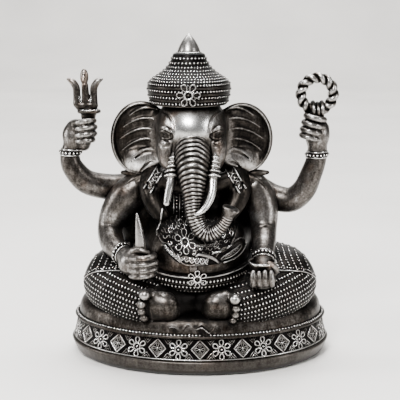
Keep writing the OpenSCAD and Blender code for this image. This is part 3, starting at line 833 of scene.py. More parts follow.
TRUNK = [(-4.6, -19.5, 137.5, 9.4), (-4.4, -25.8, 132.8, 10.0), (-4.2, -31.5, 127.0, 10.1),
         (-4.0, -37.0, 119.5, 9.0),
         (-3.5, -40.8, 109, 6.9), (-2.9, -43.0, 100.5, 5.7), (-2.0, -44.6, 94, 5.2), (0.8, -45.8, 88.3, 4.8),
         (4.9, -46.5, 86.2, 4.4), (9.5, -47.0, 88.3, 3.9), (13.4, -47.4, 92.6, 3.4), (15.8, -47.8, 97.2, 3.2),
         (16.7, -48.2, 100.6, 3.6)]


FACE_X = -4.9
EYE_SCALE = 0.84


def eye_frame(side):
    """An eye's centre and its outward, upward and forward directions."""
    centre = vec(FACE_X + side * 15.2, -27.4, 140.0)
    forward = vec(side * 0.52, -0.84, 0.08)
    forward /= np.linalg.norm(forward)
    up = vec(0, 0, 1) - forward * forward[2]
    up /= np.linalg.norm(up)
    out = np.cross(up, forward) * side
    if out[0] * side < 0:
        out = -out
    return centre, out, up, forward


def head_form():
    f = Field((-34, -56, 80), (28, 18, 160), 0.45)
    f.egg((-5, -9.5, 142), (21.3, 20.8, 21), 0)
    # A broad smooth forehead, full cheeks and the bridge down to the trunk.
    f.egg((-5, -16, 143.5), (17.8, 15.6, 13.5), 4)
    for side in (-1, 1):
        f.egg((-5 + side * 13.0, -19.5, 130.5), (7.8, 9.5, 12.5), 5)
        f.egg((-5 + side * 12.0, -24.5, 128.0), (4.8, 6.0, 9), 4)
        f.egg((-5 + side * 15.5, -24.0, 134.0), (4.0, 4.4, 3.4), 2.5)
    f.egg((-4.6, -20, 141), (11, 11.5, 10), 5)
    f.egg((-4, -18, 122), (14, 13, 10), 6)

    core = np.array(TRUNK)
    core[:, 3] -= 1.6
    f.limb(core[:4], 2.0, steps=4)
    for side in (-1, 1):
        c, out, up, forward = eye_frame(side)

        def at(a, b, d):
            return c + EYE_SCALE * (a * out + b * up) + d * forward
        # Socket, ball with an incised pupil, two lids, and the folds above and below.
        f.limb([(*at(-3.2, -1.0, 2.6), 2.0), (*at(0, 0.4, 3.0), 3.2), (*at(3.0, 0.9, 2.2), 2.0)], 1.2,
               steps=4, carve=True)
        f.limb([(*at(-1.6, -0.3, -1.3), 2.4), (*at(1.6, 0.5, -1.4), 2.4)], 0.3, steps=2)
        f.egg(at(0.2, 0.3, 1.4), (0.9, 0.9, 0.9), 0.3, carve=True)
        f.limb([(*at(-4.2, -1.9, -0.2), 0.5), (*at(-2.4, 1.1, 0.9), 0.85), (*at(0.4, 2.5, 1.1), 0.95),
                (*at(3.0, 2.0, 0.5), 0.8), (*at(4.6, 0.7, -0.7), 0.4)], 0.35, steps=5)
        f.limb([(*at(-4.0, -2.0, -0.2), 0.45), (*at(-1.6, -2.5, 0.7), 0.75), (*at(1.4, -1.9, 0.8), 0.75),
                (*at(4.2, 0.3, -0.4), 0.4)], 0.35, steps=5)
        f.limb([(*at(-4.6, 1.2, 0.2), 0.5), (*at(-2.4, 3.9, 0.9), 1.0), (*at(1.2, 5.0, 0.8), 1.0),
                (*at(4.4, 3.8, -0.6), 0.5)], 1.0, steps=5)
        f.limb([(*at(-3.4, -5.2, 1.0), 0.5), (*at(-0.6, -5.6, 1.6), 1.3), (*at(2.8, -3.9, 0.6), 0.6)], 1.2, steps=5)
        f.limb([(*at(-2.2, -9.2, 1.0), 0.5), (*at(0.6, -9.0, 1.2), 1.1), (*at(3.2, -7.2, 0.2), 0.5)], 1.2, steps=5)
    return f


def swept(mesh, path, swell, shift=None, step=0.3, sides=44, tone=0.5):
    """A round body along a path of x, y, z and radius. swell(s) adds to the radius at a run s along it, and
    shift(s, out) slides the skin along the path, where out is the way the skin faces."""
    fine = curve(path, 24)
    run = length_along(fine[:, :3])
    s = np.linspace(0, run[-1], int(run[-1] / (step * COARSE)))
    at = np.stack([np.interp(s, run, fine[:, i]) for i in range(4)], -1)
    ways = np.gradient(at[:, :3], axis=0)
    ways /= np.linalg.norm(ways, axis=1, keepdims=True)
    u = np.cross(ways[0], [1, 0, 0])
    us = []
    for way in ways:
        u = u - way * (u @ way)
        u = u / np.linalg.norm(u)
        us.append(u)
    us = np.array(us)
    vs = np.cross(ways, us)
    turn = turns(sides)
    out = us[:, None] * np.cos(turn)[None, :, None] + vs[:, None] * np.sin(turn)[None, :, None]
    verts = at[:, None, :3] + out * (at[:, 3] + swell(s))[:, None, None]
    if shift is not None:
        verts = verts + ways[:, None] * shift(s[:, None], out)[..., None]
    tones = tone(s[:, None], out)
    mesh.tube(verts, np.concatenate([tones.ravel(), tones[0, :1], tones[-1, :1]]), ends=at[[0, -1], :3])


def trunk(mesh):
    """The trunk: fleshy rings that arch up over its front, then a curl to the idol's left and a flared end."""
    upper, lower, longest, samples = 22.0, 44.0, 90, 400

    def phase(s):
        # The rings lie 2.75 apart on the upper trunk and close up to about 1.5 on the curl.
        spots = np.linspace(0, longest, samples)
        pitch = np.interp(spots, (0, upper, lower, longest), (2.75, 2.75, 1.6, 1.45))
        count = np.concatenate([[0], np.cumsum(longest / (samples - 1) / pitch)])[:-1]
        return np.interp(s, spots, count)

    def plain(s):
        # No rings at the root and on the flared end.
        return np.clip((s - 4.5) / 1.2, 0, 1) * np.clip((end - 4.2 - s) / 1.0, 0, 1)

    def swell(s):
        return plain(s) * np.interp(s, (upper, lower), (0.85, 0.5)) * (np.abs(np.sin(np.pi * phase(s))) ** 0.75 - 0.75)

    def shift(s, out):
        fade = np.clip((52 - s) / 26, 0, 1) * np.clip(s / 4, 0, 1)
        return -3.4 * fade * np.clip(-out[..., 1], 0, 1) ** 1.5

    def tone(s, out):
        # Painted highlight: the ring crests are painted bright, most where they face forward, as if lit from the
        # front.
        ridge = np.abs(np.sin(np.pi * phase(s))) + 0 * out[..., 0]
        start = plain(s)
        facing = np.clip(-out[..., 1], 0, 1)
        lit = np.interp(s, (10, 40), (0.8, 0.75))
        skin = (1 - start) * 0.45 + start * (0.02 + lit * ridge ** 1.5 * (0.5 + 0.5 * facing ** 2))
        return np.where(s > end + 1.2, -0.1, skin)

    path = TRUNK[:-1] + [(16.2, -47.9, 98.2, 3.6), (16.9, -48.2, 100.2, 4.5), (17.3, -48.3, 101.3, 4.9),
                         (17.5, -48.4, 101.9, 4.3), (17.6, -48.4, 102.2, 2.0), (17.6, -48.4, 102.4, 0.2)]
    fine = curve(path, 24)
    end = np.linalg.norm(np.diff(fine[:, :3], axis=0), axis=1).sum() - 1.6
    swept(mesh, path, swell, shift, tone=tone)


def face_lines():
    """Points of x and z along the brow grooves and the creases beside the trunk."""
    lines = []
    for side in (-1, 1):
        c = FACE_X
        lines.append([(c + side * 16.8, 152.2), (c + side * 13.8, 151.4), (c + side * 11.4, 148.4),
                      (c + side * 10.2, 144.6), (c + side * 9.6, 141.0)])
        lines.append([(c + side * 10.4, 135.0), (c + side * 10.8, 130.0), (c + side * 11.2, 125.0)])
    return lines


def head(f):
    for line in face_lines():
        hit = on_front(f, curve(line, 5), 0.0)
        hit = hit[~np.isnan(hit).any(1)]
        if len(hit) > 3:
            fade = 0.8 * np.sin(np.pi * np.linspace(0.12, 0.9, len(hit)))
            f.limb(np.concatenate([hit, fade[:, None]], 1)[::2], 0.5, steps=1, carve=True)
    m = Mesh()

    def tone(verts):
        # Painted highlight and shade: the forehead and the front of the cheeks are painted bright as if lit from the
        # front and above, the throat stays dark as if in shade, and the eyes stay dark.
        front = np.clip((-verts[:, 1] - 10) / 16, 0, 1)
        high = np.clip((verts[:, 2] - 108) / 14, 0, 1)
        brow = (np.clip(1.25 - ((verts[:, 0] + 5) / 15) ** 2 - ((verts[:, 2] - 145.5) / 10.5) ** 2, 0, 1)
                * np.clip((-verts[:, 1] - 19) / 6, 0, 1))
        out = 0.20 + 0.26 * front * high + 0.42 * brow
        for side in (-1, 1):
            c, way_out, up, forward = eye_frame(side)
            a, b = (verts - c) @ way_out, (verts - c) @ up
            near = ((verts - c) @ forward) > -4
            ring = np.hypot(a / 3.1, (b - 0.12 * a) / 1.7)
            out = np.where(near & (ring < 1.1), 0.14, out)
            out = np.where(near & (ring >= 1.1) & (ring < 1.45), 0.42, out)
            out = np.where(near & (ring >= 1.45) & (ring < 1.8), 0.08, out)
        return out
    m.skin(f, tone)
    trunk(m)
    m.make("head", SMOOTH)


def ears():
    for side, name in ((-1, "right_ear"), (1, "left_ear")):
        cx, cz, half = -5 + side * 30, 134.8, 22 if side < 0 else 21
        f = Field((cx - 22, -22, 106), (cx + 22, 8, 160), 0.45)
        # A dished blade with a thick rolled rim.
        f.egg((cx, -4.5, cz), (18.0, 4.2, half), 0)
        f.egg((cx + side * 1, -13.2, cz), (16.2, 6.4, half - 2.0), 1.2, carve=True)
        f.egg((cx - side * 13, -7, cz + 1), (8, 4.2, 16), 4)
        f.egg((cx + side * 0.5, -7.4, cz - 13.5), (9.5, 2.6, 7.0), 4)
        turn = np.linspace(math.radians(128), math.radians(-128), 34)
        rim = [(cx + side * 17.2 * math.cos(t), -6.4 - 0.9 * math.cos(t), cz + (half - 0.8) * math.sin(t), 1.35)
               for t in turn]
        f.limb(rim, 0.8, steps=1)
        # Folds run outward from the head, one above another, and droop toward the rim.
        folds = []
        for i, length in enumerate((15.5, 19.5, 21.5, 20.5, 16.5, 11.0)):
            start_z, drop = cz + 18.0 - 6.1 * i, 4.2 + 0.9 * i
            t = np.linspace(0, 1, 8)
            x = cx - side * 8.5 + side * length * t
            z = start_z + 1.4 * np.sin(np.pi * t) - drop * t ** 2
            y = -6.4 - 1.7 * np.cos(t * 1.2) - 0.9 * (i > 3)
            r = 0.95 * (1 - 0.6 * np.abs(2 * t - 1) ** 3)
            f.limb(np.stack([x, y, z, r], -1), 0.9, steps=3)
            f.limb(np.stack([x, y - 0.9, z - 1.7, 0.6 * r], -1)[1:-1], 0.5, steps=3, carve=True)
            folds.append(np.stack([x, z], -1))
        m = Mesh()

        def tone(verts):
            lobe = np.clip((128 - verts[:, 2]) / 10, 0, 1) * (0.42 if side < 0 else 0.26)
            raised = np.clip((-verts[:, 1] - 8.2) / 1.6, 0, 1) * 0.22
            return 0.18 + lobe + raised
        m.skin(f, tone)
        for line in folds:
            wire_on(m, f, line, 0.3, lift=-0.14, tone=0.36, steps=3)
        m.wire(on_front(f, [(p[0] - side * 0.2, p[2]) for p in rim], -0.15), 0.45, False, 6, 0.4)
        m.make(name, SMOOTH)


def tusks():
    """A stub and a whole tusk, each in a sheath of stacked rings."""
    whole = [(8.6, -29.5, 129.5, 1.3), (8.0, -33.5, 123, 2.5), (7.1, -38, 117, 2.7), (6.4, -43, 108.6, 2.5),
             (3.4, -48.0, 102.4, 2.0), (0.2, -50.4, 99.8, 1.4), (-2.6, -51.2, 98.6, 0.7)]
    stub = [(-15.2, -29.5, 129.5, 1.3), (-15.4, -33.5, 122.5, 2.5), (-16.3, -37, 115, 2.6),
            (-17.8, -38.6, 108.5, 2.3), (-18.9, -39.8, 102.6, 1.9)]
    for name, path in (("left_tusk", whole), ("right_tusk", stub)):
        f = Field((-26, -58, 94), (16, -22, 134), 0.4)
        f.limb(path, 0, steps=5)
        # The sheath: rings stacked into a cone that widens downward.
        line = curve(np.array(path), 12)
        for i in range(5):
            at = np.array([np.interp(127.0 - 2.4 * i, line[::-1, 2], line[::-1, k]) for k in range(3)])
            r = 2.0 + 0.5 * i
            f.egg(at, (r + 0.75, r + 0.75, 1.2), 0.2, lean=-25)
        sculpted(name, f, 0.78, BRIGHT)


def crown():
    low, high = node_box("crown")
    cx, cy = (low + high)[:2] / 2
    z0 = low[2]
    # Radius at each height: a straight-sided cap, a round shoulder, then a neck up to the cone.
    shape = np.array([(21.6, 0), (22.9, 1.2), (23.8, 4.0), (24.4, 7.5), (24.5, 10.6), (23.6, 13.0), (21.2, 15.1),
                      (18.0, 17.2), (14.9, 19.6), (12.3, 22.4), (10.5, 25.6), (9.3, 28.9)])
    line = curve(shape, 8)
    line[:, 1] += z0
    m = Mesh()
    outline = np.concatenate([[(0.01, z0 + 0.05), (21.0, z0 + 0.05)], line, [(8.6, z0 + 29.3), (0.01, z0 + 29.3)]])
    m.lathe(outline, (cx, cy, 0), 120, -0.15)
    run = length_along(line)

    def at(s):
        return np.interp(s, run, line[:, 0]), np.interp(s, run, line[:, 1])

    def row(s, bead, lift=0.1):
        r, z = at(s)
        n = int(2 * math.pi * r / (bead * 3.3))
        turn = turns(n, random.uniform(0, 1))
        lean = math.radians(float(np.interp(s, [0, 11, 15, 20, 30], [0, 5, 50, 42, 20])))
        out = np.stack([np.cos(turn) * math.cos(lean), np.sin(turn) * math.cos(lean),
                        np.full(n, math.sin(lean))], -1)
        m.beads(np.stack([cx + (r + lift) * np.cos(turn), cy + (r + lift) * np.sin(turn),
                          np.full(n, z)], -1), bead, 0.8, out)

    def band(s, radius, lift=0.05, tone=0.35):
        r, z = at(s)
        turn = turns(110)
        m.wire(np.stack([cx + (r + lift) * np.cos(turn), cy + (r + lift) * np.sin(turn),
                         np.full(110, z)], -1), radius, True, 6, tone)

    band(0.5, 0.5, 0.0, 0.2)
    for i in range(3):
        row(2.3 + 3.6 * i, 0.62)
        for shift in (1.5, 2.1):
            band(2.3 + 3.6 * i + shift, 0.2, 0.0, 0.1)
    s, step = 13.0, 2.1
    while s < run[-1] - 0.3:
        row(s, 0.55 if step < 3 else 0.66)
        s += step
        step += 0.13
    m.make("crown", PATTERN)


def crown_finial():
    low, high = node_box("crown_finial")
    cx, cy = (low + high)[:2] / 2
    tall, r = high[2] - low[2], (high[0] - low[0]) / 2
    m = Mesh()
    outline = [(0.01, low[2]), (r - 0.5, low[2])]
    outline += [(r * (1 - k ** 1.55) ** 0.85 + 0.02, low[2] + 0.4 + (tall - 0.4) * k) for k in np.linspace(0, 1, 26)]
    m.lathe(outline, (cx, cy, 0), 64, 0.6)
    turn = turns(60)
    m.wire(np.stack([cx + (r + 0.2) * np.cos(turn), cy + (r + 0.2) * np.sin(turn), np.full(60, low[2] + 0.4)], -1),
           0.8, True, 8, 0.7)
    m.make("crown_finial", BRIGHT)


def flower_piece(name, forms, reach, start, lift=0.5, tone=0.6):
    """A filigree flower of six petals round a ring, laid on the front of forms or of the crown."""
    low, high = node_box(name)
    at = (low + high) / 2
    m = Mesh()

    def lay(points):
        if forms:
            return on_top(forms, points, steps=1) - vec(0, lift, 0)
        clow, chigh = node_box("crown")
        cx, cy = (clow + chigh)[:2] / 2
        r = (chigh[0] - clow[0]) / 2 + 0.1
        return np.stack([points[:, 0], cy - np.sqrt(r * r - (points[:, 0] - cx) ** 2), points[:, 1]], -1)

    for i, outline in enumerate(flower_outlines((at[0], at[2]), reach, start=math.radians(start))):
        m.wire(lay(curve(outline, 2, True)), 0.3 if i else 0.48, True, 6, tone if i else tone + 0.35)
    m.beads(lay(vec(at[0], at[2])[None].repeat(2, 0))[:1], 0.6, 0.2)
    m.make(name, BRIGHT)


# ---- arms and hands


def ring_about(at, way, r, n=40):
    way = vec(*way) / np.linalg.norm(way)
    u = np.cross(way, [0.1, 0.97, 0.2])
    u /= np.linalg.norm(u)
    v = np.cross(way, u)
    turn = turns(n)
    return vec(*at) + r * (np.cos(turn)[:, None] * u + np.sin(turn)[:, None] * v)


def bangle(name, at, way, r, arm):
    """A wristlet of a bead row between two ridges, following the wrist."""
    m = Mesh()
    way = vec(*way) / np.linalg.norm(way)
    for shift, kind in ((-1.6, "ridge"), (0, "beads"), (1.6, "ridge")):
        centre = vec(*at) + way * shift
        ring = ring_about(centre, way, 1.0) - centre
        hit = arm.cast(centre[None], ring, 14, 0.25, last=True)
        hit = np.where(np.isnan(hit), centre + ring * r, hit)
        out = np.linalg.norm(hit - centre, axis=1)
        out = (np.roll(out, 1) + np.roll(out, 2) + out + np.roll(out, -1) + np.roll(out, -2)) / 5
        out = np.minimum(out, r + 0.3)
        if kind == "ridge":
            m.wire(centre + ring * (out + 0.1)[:, None], 0.55, True, 8, 0.6)
        else:
            m.wire(centre + ring * out[:, None], 1.1, True, 8, -0.1)
            spots = spaced(centre + ring * (out + 0.75)[:, None], 2.15, True)
            away = spots - centre
            m.beads(spots, 0.82, 1.0, away / np.linalg.norm(away, axis=1, keepdims=True))
    m.make(name, BRIGHT)


def raised_arm(side):
    if side < 0:
        f = Field((-92, -24, 88), (-22, 18, 154), 0.5)
        arm = [(-34, 5, 105.5, 9.2), (-46, 4, 103, 8.6), (-57, 2.5, 103.5, 8.0), (-69, -2, 107.5, 7.4),
               (-76, -4.5, 115.5, 6.6), (-78.3, -5, 122, 6.0), (-77.3, -5, 129, 5.4), (-74.5, -5, 134.5, 5.8)]
        f.limb(arm, 0, steps=5)
        f.egg((-73.4, -4.5, 138.2), (7.4, 6.6, 8.2), 3, tip=-30)
        f.egg((-76.4, -5.5, 135.4), (5.6, 5.8, 7.0), 2, tip=-28)
        f.egg((-69.6, -4.4, 131.4), (3.8, 4.2, 4.4), 2.5)
        # Four fingers close round the handle, their tips toward the middle.
        for z, r, inn in ((145.6, 1.75, 0), (141.8, 1.85, 0.3), (137.9, 1.85, 0.1), (134.2, 1.6, -0.8)):
            f.limb([(-74.5, -8.6, z - 1.0, r * 1.05), (-70.4, -12.4, z - 0.2, r * 1.05), (-66.0, -12.8, z + 0.4, r),
                    (-62.9 + inn, -9.6, z + 0.2, r * 0.98), (-63.6 + inn, -5.2, z, r * 0.85)], 0.45, steps=4)
        f.limb([(-74.5, -3.5, 140, 2.6), (-70.5, 0.6, 142.5, 2.3), (-66.6, -1.0, 144.6, 1.9),
                (-64.8, -4.6, 145.2, 1.6)], 1.2, steps=4)
        f.egg((-67.6, -4.5, 138.5), (4.8, 4.6, 7.5), 1.5)
        wrist, way, r = (-77.6, -5, 126.6), (0.05, 0, 1), 7.4
        names = ("upper_right_arm", "upper_right_bangle")
    else:
        f = Field((20, -24, 82), (88, 20, 154), 0.5)
        arm = [(29, 5, 105.5, 9.2), (38, 4, 100.2, 8.6), (46.5, 2.5, 96.6, 8.1), (56, -1, 96.2, 7.6),
               (63.2, -4, 103.0, 7.2), (67.3, -5, 113, 6.6), (70, -5, 121.5, 6.1), (70.6, -5, 129, 5.8),
               (70, -5, 134, 5.8)]
        f.limb(arm, 0, steps=5)
        f.egg((70.0, -4.5, 139), (6.8, 6.6, 9.0), 3, tip=10)
        f.egg((72.4, -5.0, 135.6), (5.0, 5.6, 7.4), 2, tip=14)
        for (x, z), r in zip(((66.0, 148.2), (65.0, 144.1), (64.2, 140.1), (63.6, 136.5)), (1.7, 1.85, 1.85, 1.6)):
            f.limb([(x + 7.6, -9.0, z - 1.8, r * 1.05), (x + 4.2, -12.4, z - 1.2, r * 1.05), (x - 0.4, -12.6, z, r),
                    (x - 3.2, -9.4, z + 0.6, r * 0.98), (x - 2.6, -5.2, z + 0.8, r * 0.85)], 0.45, steps=4)
        f.limb([(75.0, -3.5, 141, 2.4), (73.0, 0.6, 145.0, 2.2), (69.0, -1.8, 149.0, 1.9),
                (67.0, -6.4, 149.2, 1.6)], 1.2, steps=4)
        f.egg((66.6, -4.5, 141.5), (4.6, 4.6, 7.0), 1.5)
        wrist, way, r = (70.2, -5, 125.2), (-0.03, 0, 1), 7.4
        names = ("upper_left_arm", "upper_left_bangle")

    def tone(v):
        # Painted highlight: the hand and the front of the fingers are painted brighter than the arm, as if lit.
        return (0.31 if side < 0 else 0.35) + 0.13 * np.clip((v[:, 2] - 124) / 10, 0, 1) \
            + 0.1 * np.clip((-v[:, 1] - 11.8) / 2.2, 0, 1)

    sculpted(names[0], f, tone)
    bangle(names[1], wrist, way, r, f)


def front_arm(side):
    if side < 0:
        f = Field((-68, -58, 46), (-18, 12, 114), 0.5)
        arm = [(-40, -4, 104, 9.5), (-45, -5, 99, 10.0), (-51.5, -5, 90, 9.0), (-55.0, -6.5, 80, 7.6),
               (-53.2, -15, 73.4, 7.4), (-49.2, -23.5, 70.8, 6.4), (-45.0, -30, 69.2, 5.3), (-40.5, -36, 68.2, 5.5)]
        f.limb(arm, 0, steps=5)
        f.egg((-37.8, -38.6, 67.4), (7.6, 7.0, 7.4), 3, turn=-30)
        f.egg((-41.5, -38.0, 66.4), (5.8, 5.8, 6.4), 2, turn=-30)
        # Fingers close round the tusk, their tips toward the middle.
        for z, r, inn in ((72.2, 1.7, 0), (68.5, 1.85, 0.6), (64.9, 1.85, 0.4), (61.6, 1.6, -0.6)):
            f.limb([(-39.6, -43.6, z - 1.2, r), (-35.4, -47.2, z - 0.6, r * 1.08), (-30.4, -47.6, z, r),
                    (-26.2 + inn, -44.6, z + 0.4, r), (-26.6 + inn, -40.6, z + 0.4, r * 0.85)], 0.45, steps=4)
        for z in (70.4, 66.7, 63.2):
            f.limb([(-37.5, -47.6, z - 0.9, 0.3), (-34.6, -49.4, z - 0.3, 0.75), (-30.4, -49.6, z, 0.75),
                    (-25.2, -46.4, z + 0.4, 0.7)], 0.4, steps=4, carve=True)
        f.limb([(-41.5, -37.5, 71.0, 2.4), (-38.6, -40.4, 74.4, 2.2), (-34.0, -43.0, 75.4, 1.9),
                (-29.8, -43.8, 74.2, 1.6)], 1.0, steps=4)
        f.egg((-33.0, -40.8, 69), (5.6, 4.4, 6.2), 1.5)
        wrist, way, r = (-46.0, -28.6, 69.6), (0.62, -0.74, -0.16), 6.4
        names = ("lower_right_arm", "lower_right_bangle")
    else:
        f = Field((22, -60, 44), (56, 12, 114), 0.5)
        arm = [(33, -4, 104, 9.5), (36.5, -5, 98, 9.8), (38.6, -7, 90, 9.0), (38.8, -11, 81, 7.8),
               (38.2, -19, 75.5, 7.4), (37.6, -27, 70.6, 6.4), (37, -33, 65.4, 5.8), (36.6, -37, 61, 6.2)]
        f.limb(arm, 0, steps=5)
        f.egg((36.2, -41, 57.6), (7.6, 7.6, 5.6), 3)
        f.egg((36.0, -44, 58.4), (7.0, 5.6, 4.2), 2)
        # An open hand, its fingers curled up round the front of the bowl.
        for tip_x, tip_z, root_x in ((30.1, 64.4, 30.6), (33.5, 64.0, 34.1), (36.9, 64.6, 37.5), (40.3, 64.2, 40.8)):
            f.limb([(root_x, -44.0, 56.0, 2.1), (root_x, -48.6, 57.0, 1.9), (tip_x, -50.6, 60.4, 1.8),
                    (tip_x, -49.8, tip_z, 1.5)], 0.4, steps=4)
        f.limb([(41.8, -38, 60.5, 2.6), (43.6, -42, 63.6, 2.1), (41.6, -45.0, 67.2, 1.7),
                (39.4, -46.0, 68.6, 1.4)], 1.0, steps=4)
        # Creases at the elbow.
        f.limb([(30, -17.6, 84.5, 0.5), (38.6, -19.6, 83.6, 0.6), (46, -16.8, 84.4, 0.5)], 0.5, steps=4, carve=True)
        wrist, way, r = (37.2, -30.4, 67.8), (-0.04, -0.76, -0.64), 7.7
        names = ("lower_left_arm", "lower_left_bangle")
    m = Mesh()
    # Painted highlight: the front of the arm and a band just above the elbow are painted brighter, as if lit.
    m.skin(f, lambda v: (0.38 if side < 0 else 0.40) + 0.10 * np.clip((-v[:, 1] - 20) / 14, 0, 1)
           + 0.14 * np.clip((v[:, 2] - 84) / 6, 0, 1) * np.clip((95 - v[:, 2]) / 6, 0, 1))
    m.make(names[0], SMOOTH)
    bangle(names[1], wrist, way, r, f)
    return f


def shoulder_guards():
    for side, name in ((-1, "right_shoulder_guard"), (1, "left_shoulder_guard")):
        x = -3 + side * 33.5
        f = Field((min(x, x + side * 16) - 12, -18, 96), (max(x, x + side * 16) + 12, 14, 124), 0.5)
        # Three leaves, overlapping, with a turned-up outer point.
        f.egg((x, -3, 108.5), (9.5, 9.5, 5.5), 0, tip=side * 18)
        f.limb([(x - side * 2, -5, 112.4, 3.2), (x + side * 5, -5.5, 113.6, 2.4), (x + side * 10.5, -4.4, 113.8, 1.2)],
               1.2, steps=4)
        for k in (-1, 0, 1):
            f.limb([(x - side * 1, -5 + 4 * k, 112.5, 1.4), (x + side * 6, -6 + 5 * k, 109.5, 1.1),
                    (x + side * 9.5, -6 + 5.5 * k, 105, 0.8)], 0.8, steps=4)
        sculpted(name, f, 0.22)


# ---- what the hands hold


def trident():
    """A trident with leaf-shaped spear, thick prongs and a cup on a round collar."""
    low, high = node_box("trident")
    cx, top, y = (low[0] + high[0]) / 2 - 0.1, high[2], -5
    f = Field((cx - 16, -14, 118), (cx + 18, 5, 180), 0.4)
    # The handle in the fist, the neck, the collar and the cup.
    f.limb([(cx + 1.4, y, 140, 2.6), (cx + 1.4, y, 146.6, 4.0), (cx + 1.6, y, 149.4, 4.8)], 0, steps=2)
    turn = np.linspace(0, 2 * np.pi, 25)
    f.limb([(cx + 2.0 + 5.9 * math.cos(a), y + 4.6 * math.sin(a), 150.9, 1.2) for a in turn], 0.6, steps=1)
    f.egg((cx + 2.0, y, 150.8), (6.0, 4.8, 1.2), 0.6)
    f.limb([(cx - 3.6, y, 154.4, 2.9), (cx + 4.6, y, 154.4, 2.9)], 0.5, steps=2)
    # The spear and the two side prongs.
    f.limb([(cx + 0.6, y, 154, 2.9), (cx + 0.2, y, 160.5, 2.3), (cx - 0.1, y, top - 9.4, 2.0)], 0.3, steps=4)
    f.egg((cx - 0.3, y, top - 4.7), (2.5, 2.0, 4.9), 0.4)
    for side in (-1, 1):
        f.limb([(cx + side * 4.7, y, 155.4, 2.7), (cx + side * 5.0, y, 160.6, 2.2), (cx + side * 5.3, y, 165.0, 2.2),
                (cx + side * 7.4, y, 168.5, 1.9), (cx + side * 10.1, y, 169.9, 0.8)], 0.3, steps=5)
        # A narrow notch on either side of the spear.
        f.limb([(cx + side * 2.7 + 0.1, y - 4, 157.8, 0.6), (cx + side * 2.7 + 0.1, y + 4, 157.8, 0.6)],
               0.4, 2, carve=True)
    m = Mesh()
    m.skin(f, lambda v: 0.3 + 0.2 * np.clip((v[:, 2] - 164) / 4, 0, 1) + 0.25 * np.clip((151.5 - v[:, 2]) / 2, 0, 1))
    for side in (-1, 1):
        notch = [(cx + side * 2.8 + 0.1 + 0.8 * side * math.cos(a), 158.0 - 1.5 * math.sin(a))
                 for a in np.linspace(0, math.pi, 8)]
        notch = [(notch[0][0], 160.4)] + notch
        wire_on(m, f, notch, 0.26, lift=0.1, tone=0.8)
    m.wire([(cx - 0.9, y - 1.6, top - 8), (cx - 0.6, y - 2.3, top - 5), (cx - 0.4, y - 1.9, top - 2.4)],
           [0.2, 0.6, 0.3], False, 6, 0.95)
    m.wire(ring_about((cx + 2.0, y, 151.9), (0, 0, 1), 5.6, 36), 0.36, True, 6, 0.75)
    m.make("trident", SMOOTH)


def noose():
    """A ring of two-strand rope, lashed above the fist."""
    at = vec(69.5, -5, 161.2)
    ring_r, strand_r, offset, wraps = 9.65, 1.9, 1.5, 6
    m = Mesh()
    n = 360
    around = turns(n)
    out = np.stack([np.cos(around), 0 * around, np.sin(around)], -1)

    def tone(v):
        # Each strand is rubbed bright where it stands out of the rope.
        core = np.hypot(np.hypot(v[:, 0] - at[0], v[:, 2] - at[2]) - ring_r, v[:, 1] - at[1])
        return 0.72 * np.clip((core - 2.2) / 1.1, 0, 1) ** 1.5

    for k in range(2):
        twist = wraps * around + k * np.pi
        line = at + out * (ring_r + offset * np.cos(twist))[:, None] + vec(0, offset, 0) * np.sin(twist)[:, None]
        m.wire(line, strand_r, True, 12, tone)
    # A lashing of three turns ties the ring above the fist.
    for i, x in enumerate((67.2, 69.9, 72.4)):
        lift = (0.5, -0.2, 0.6)[i]
        loop = [(x, -5 + 4.7 * math.cos(a), 151.2 + lift + 4.6 * math.sin(a)) for a in turns(24)]
        # Painted highlight: the front of each turn is painted brighter, as if lit.
        m.wire(loop, 1.25, True, 8, lambda v: 0.12 + 0.5 * np.clip((-v[:, 1] - 8.6) / 1.6, 0, 1))
    m.wire([(69.6, -5, 136), (69.6, -5, 150)], 3.2, False, 12, 0.2)
    m.make("noose", SMOOTH)


def held_tusk():
    f = Field((-46, -50, 62), (-26, -28, 100), 0.4)
    f.limb([(-34.4, -39.5, 66, 3.3), (-34.2, -39.6, 73, 3.35), (-34.3, -39.8, 80, 2.9), (-34.8, -40, 86.5, 2.2),
            (-35.4, -40, 92, 1.4), (-36.0, -40, 96.6, 0.5)], 0, steps=4)
    sculpted("held_tusk", f, 0.62, BRIGHT)


def bowl_and_sweet():
    low, high = node_box("sweet_bowl")
    at = ((low[0] + high[0]) / 2, (low[1] + high[1]) / 2, 0)
    r = (high[0] - low[0]) / 2
    m = Mesh()
    outline = [(0.01, low[2]), (r * 0.55, low[2] + 0.2), (r * 0.82, low[2] + 2.0), (r * 0.95, high[2] - 1.6),
               (r, high[2] - 0.5), (r - 0.1, high[2]), (r - 0.9, high[2]), (r - 1.2, high[2] - 0.8),
               (r - 1.7, high[2] - 2.4), (0.01, high[2] - 3.0)]
    m.lathe(outline, at, 64, [0.2, 0.2, 0.25, 0.3, 0.9, 0.95, 0.8, 0.1, -0.1, -0.1])
    m.make("sweet_bowl", SMOOTH)
    low, high = node_box("sweet")
    f = Field(low - 2, high + 2, 0.4)
    c, h = (low + high) / 2, (high - low) / 2
    f.egg((c[0], c[1], low[2] + 1.2), (h[0] - 0.1, h[1] - 0.1, high[2] - low[2] - 1.2), 0)
    f.merge(low - 2, high + 2, lambda x, y, z: low[2] - z + 0 * x + 0 * y, 0, True)
    sculpted("sweet", f, 0.35)


# ---- feet


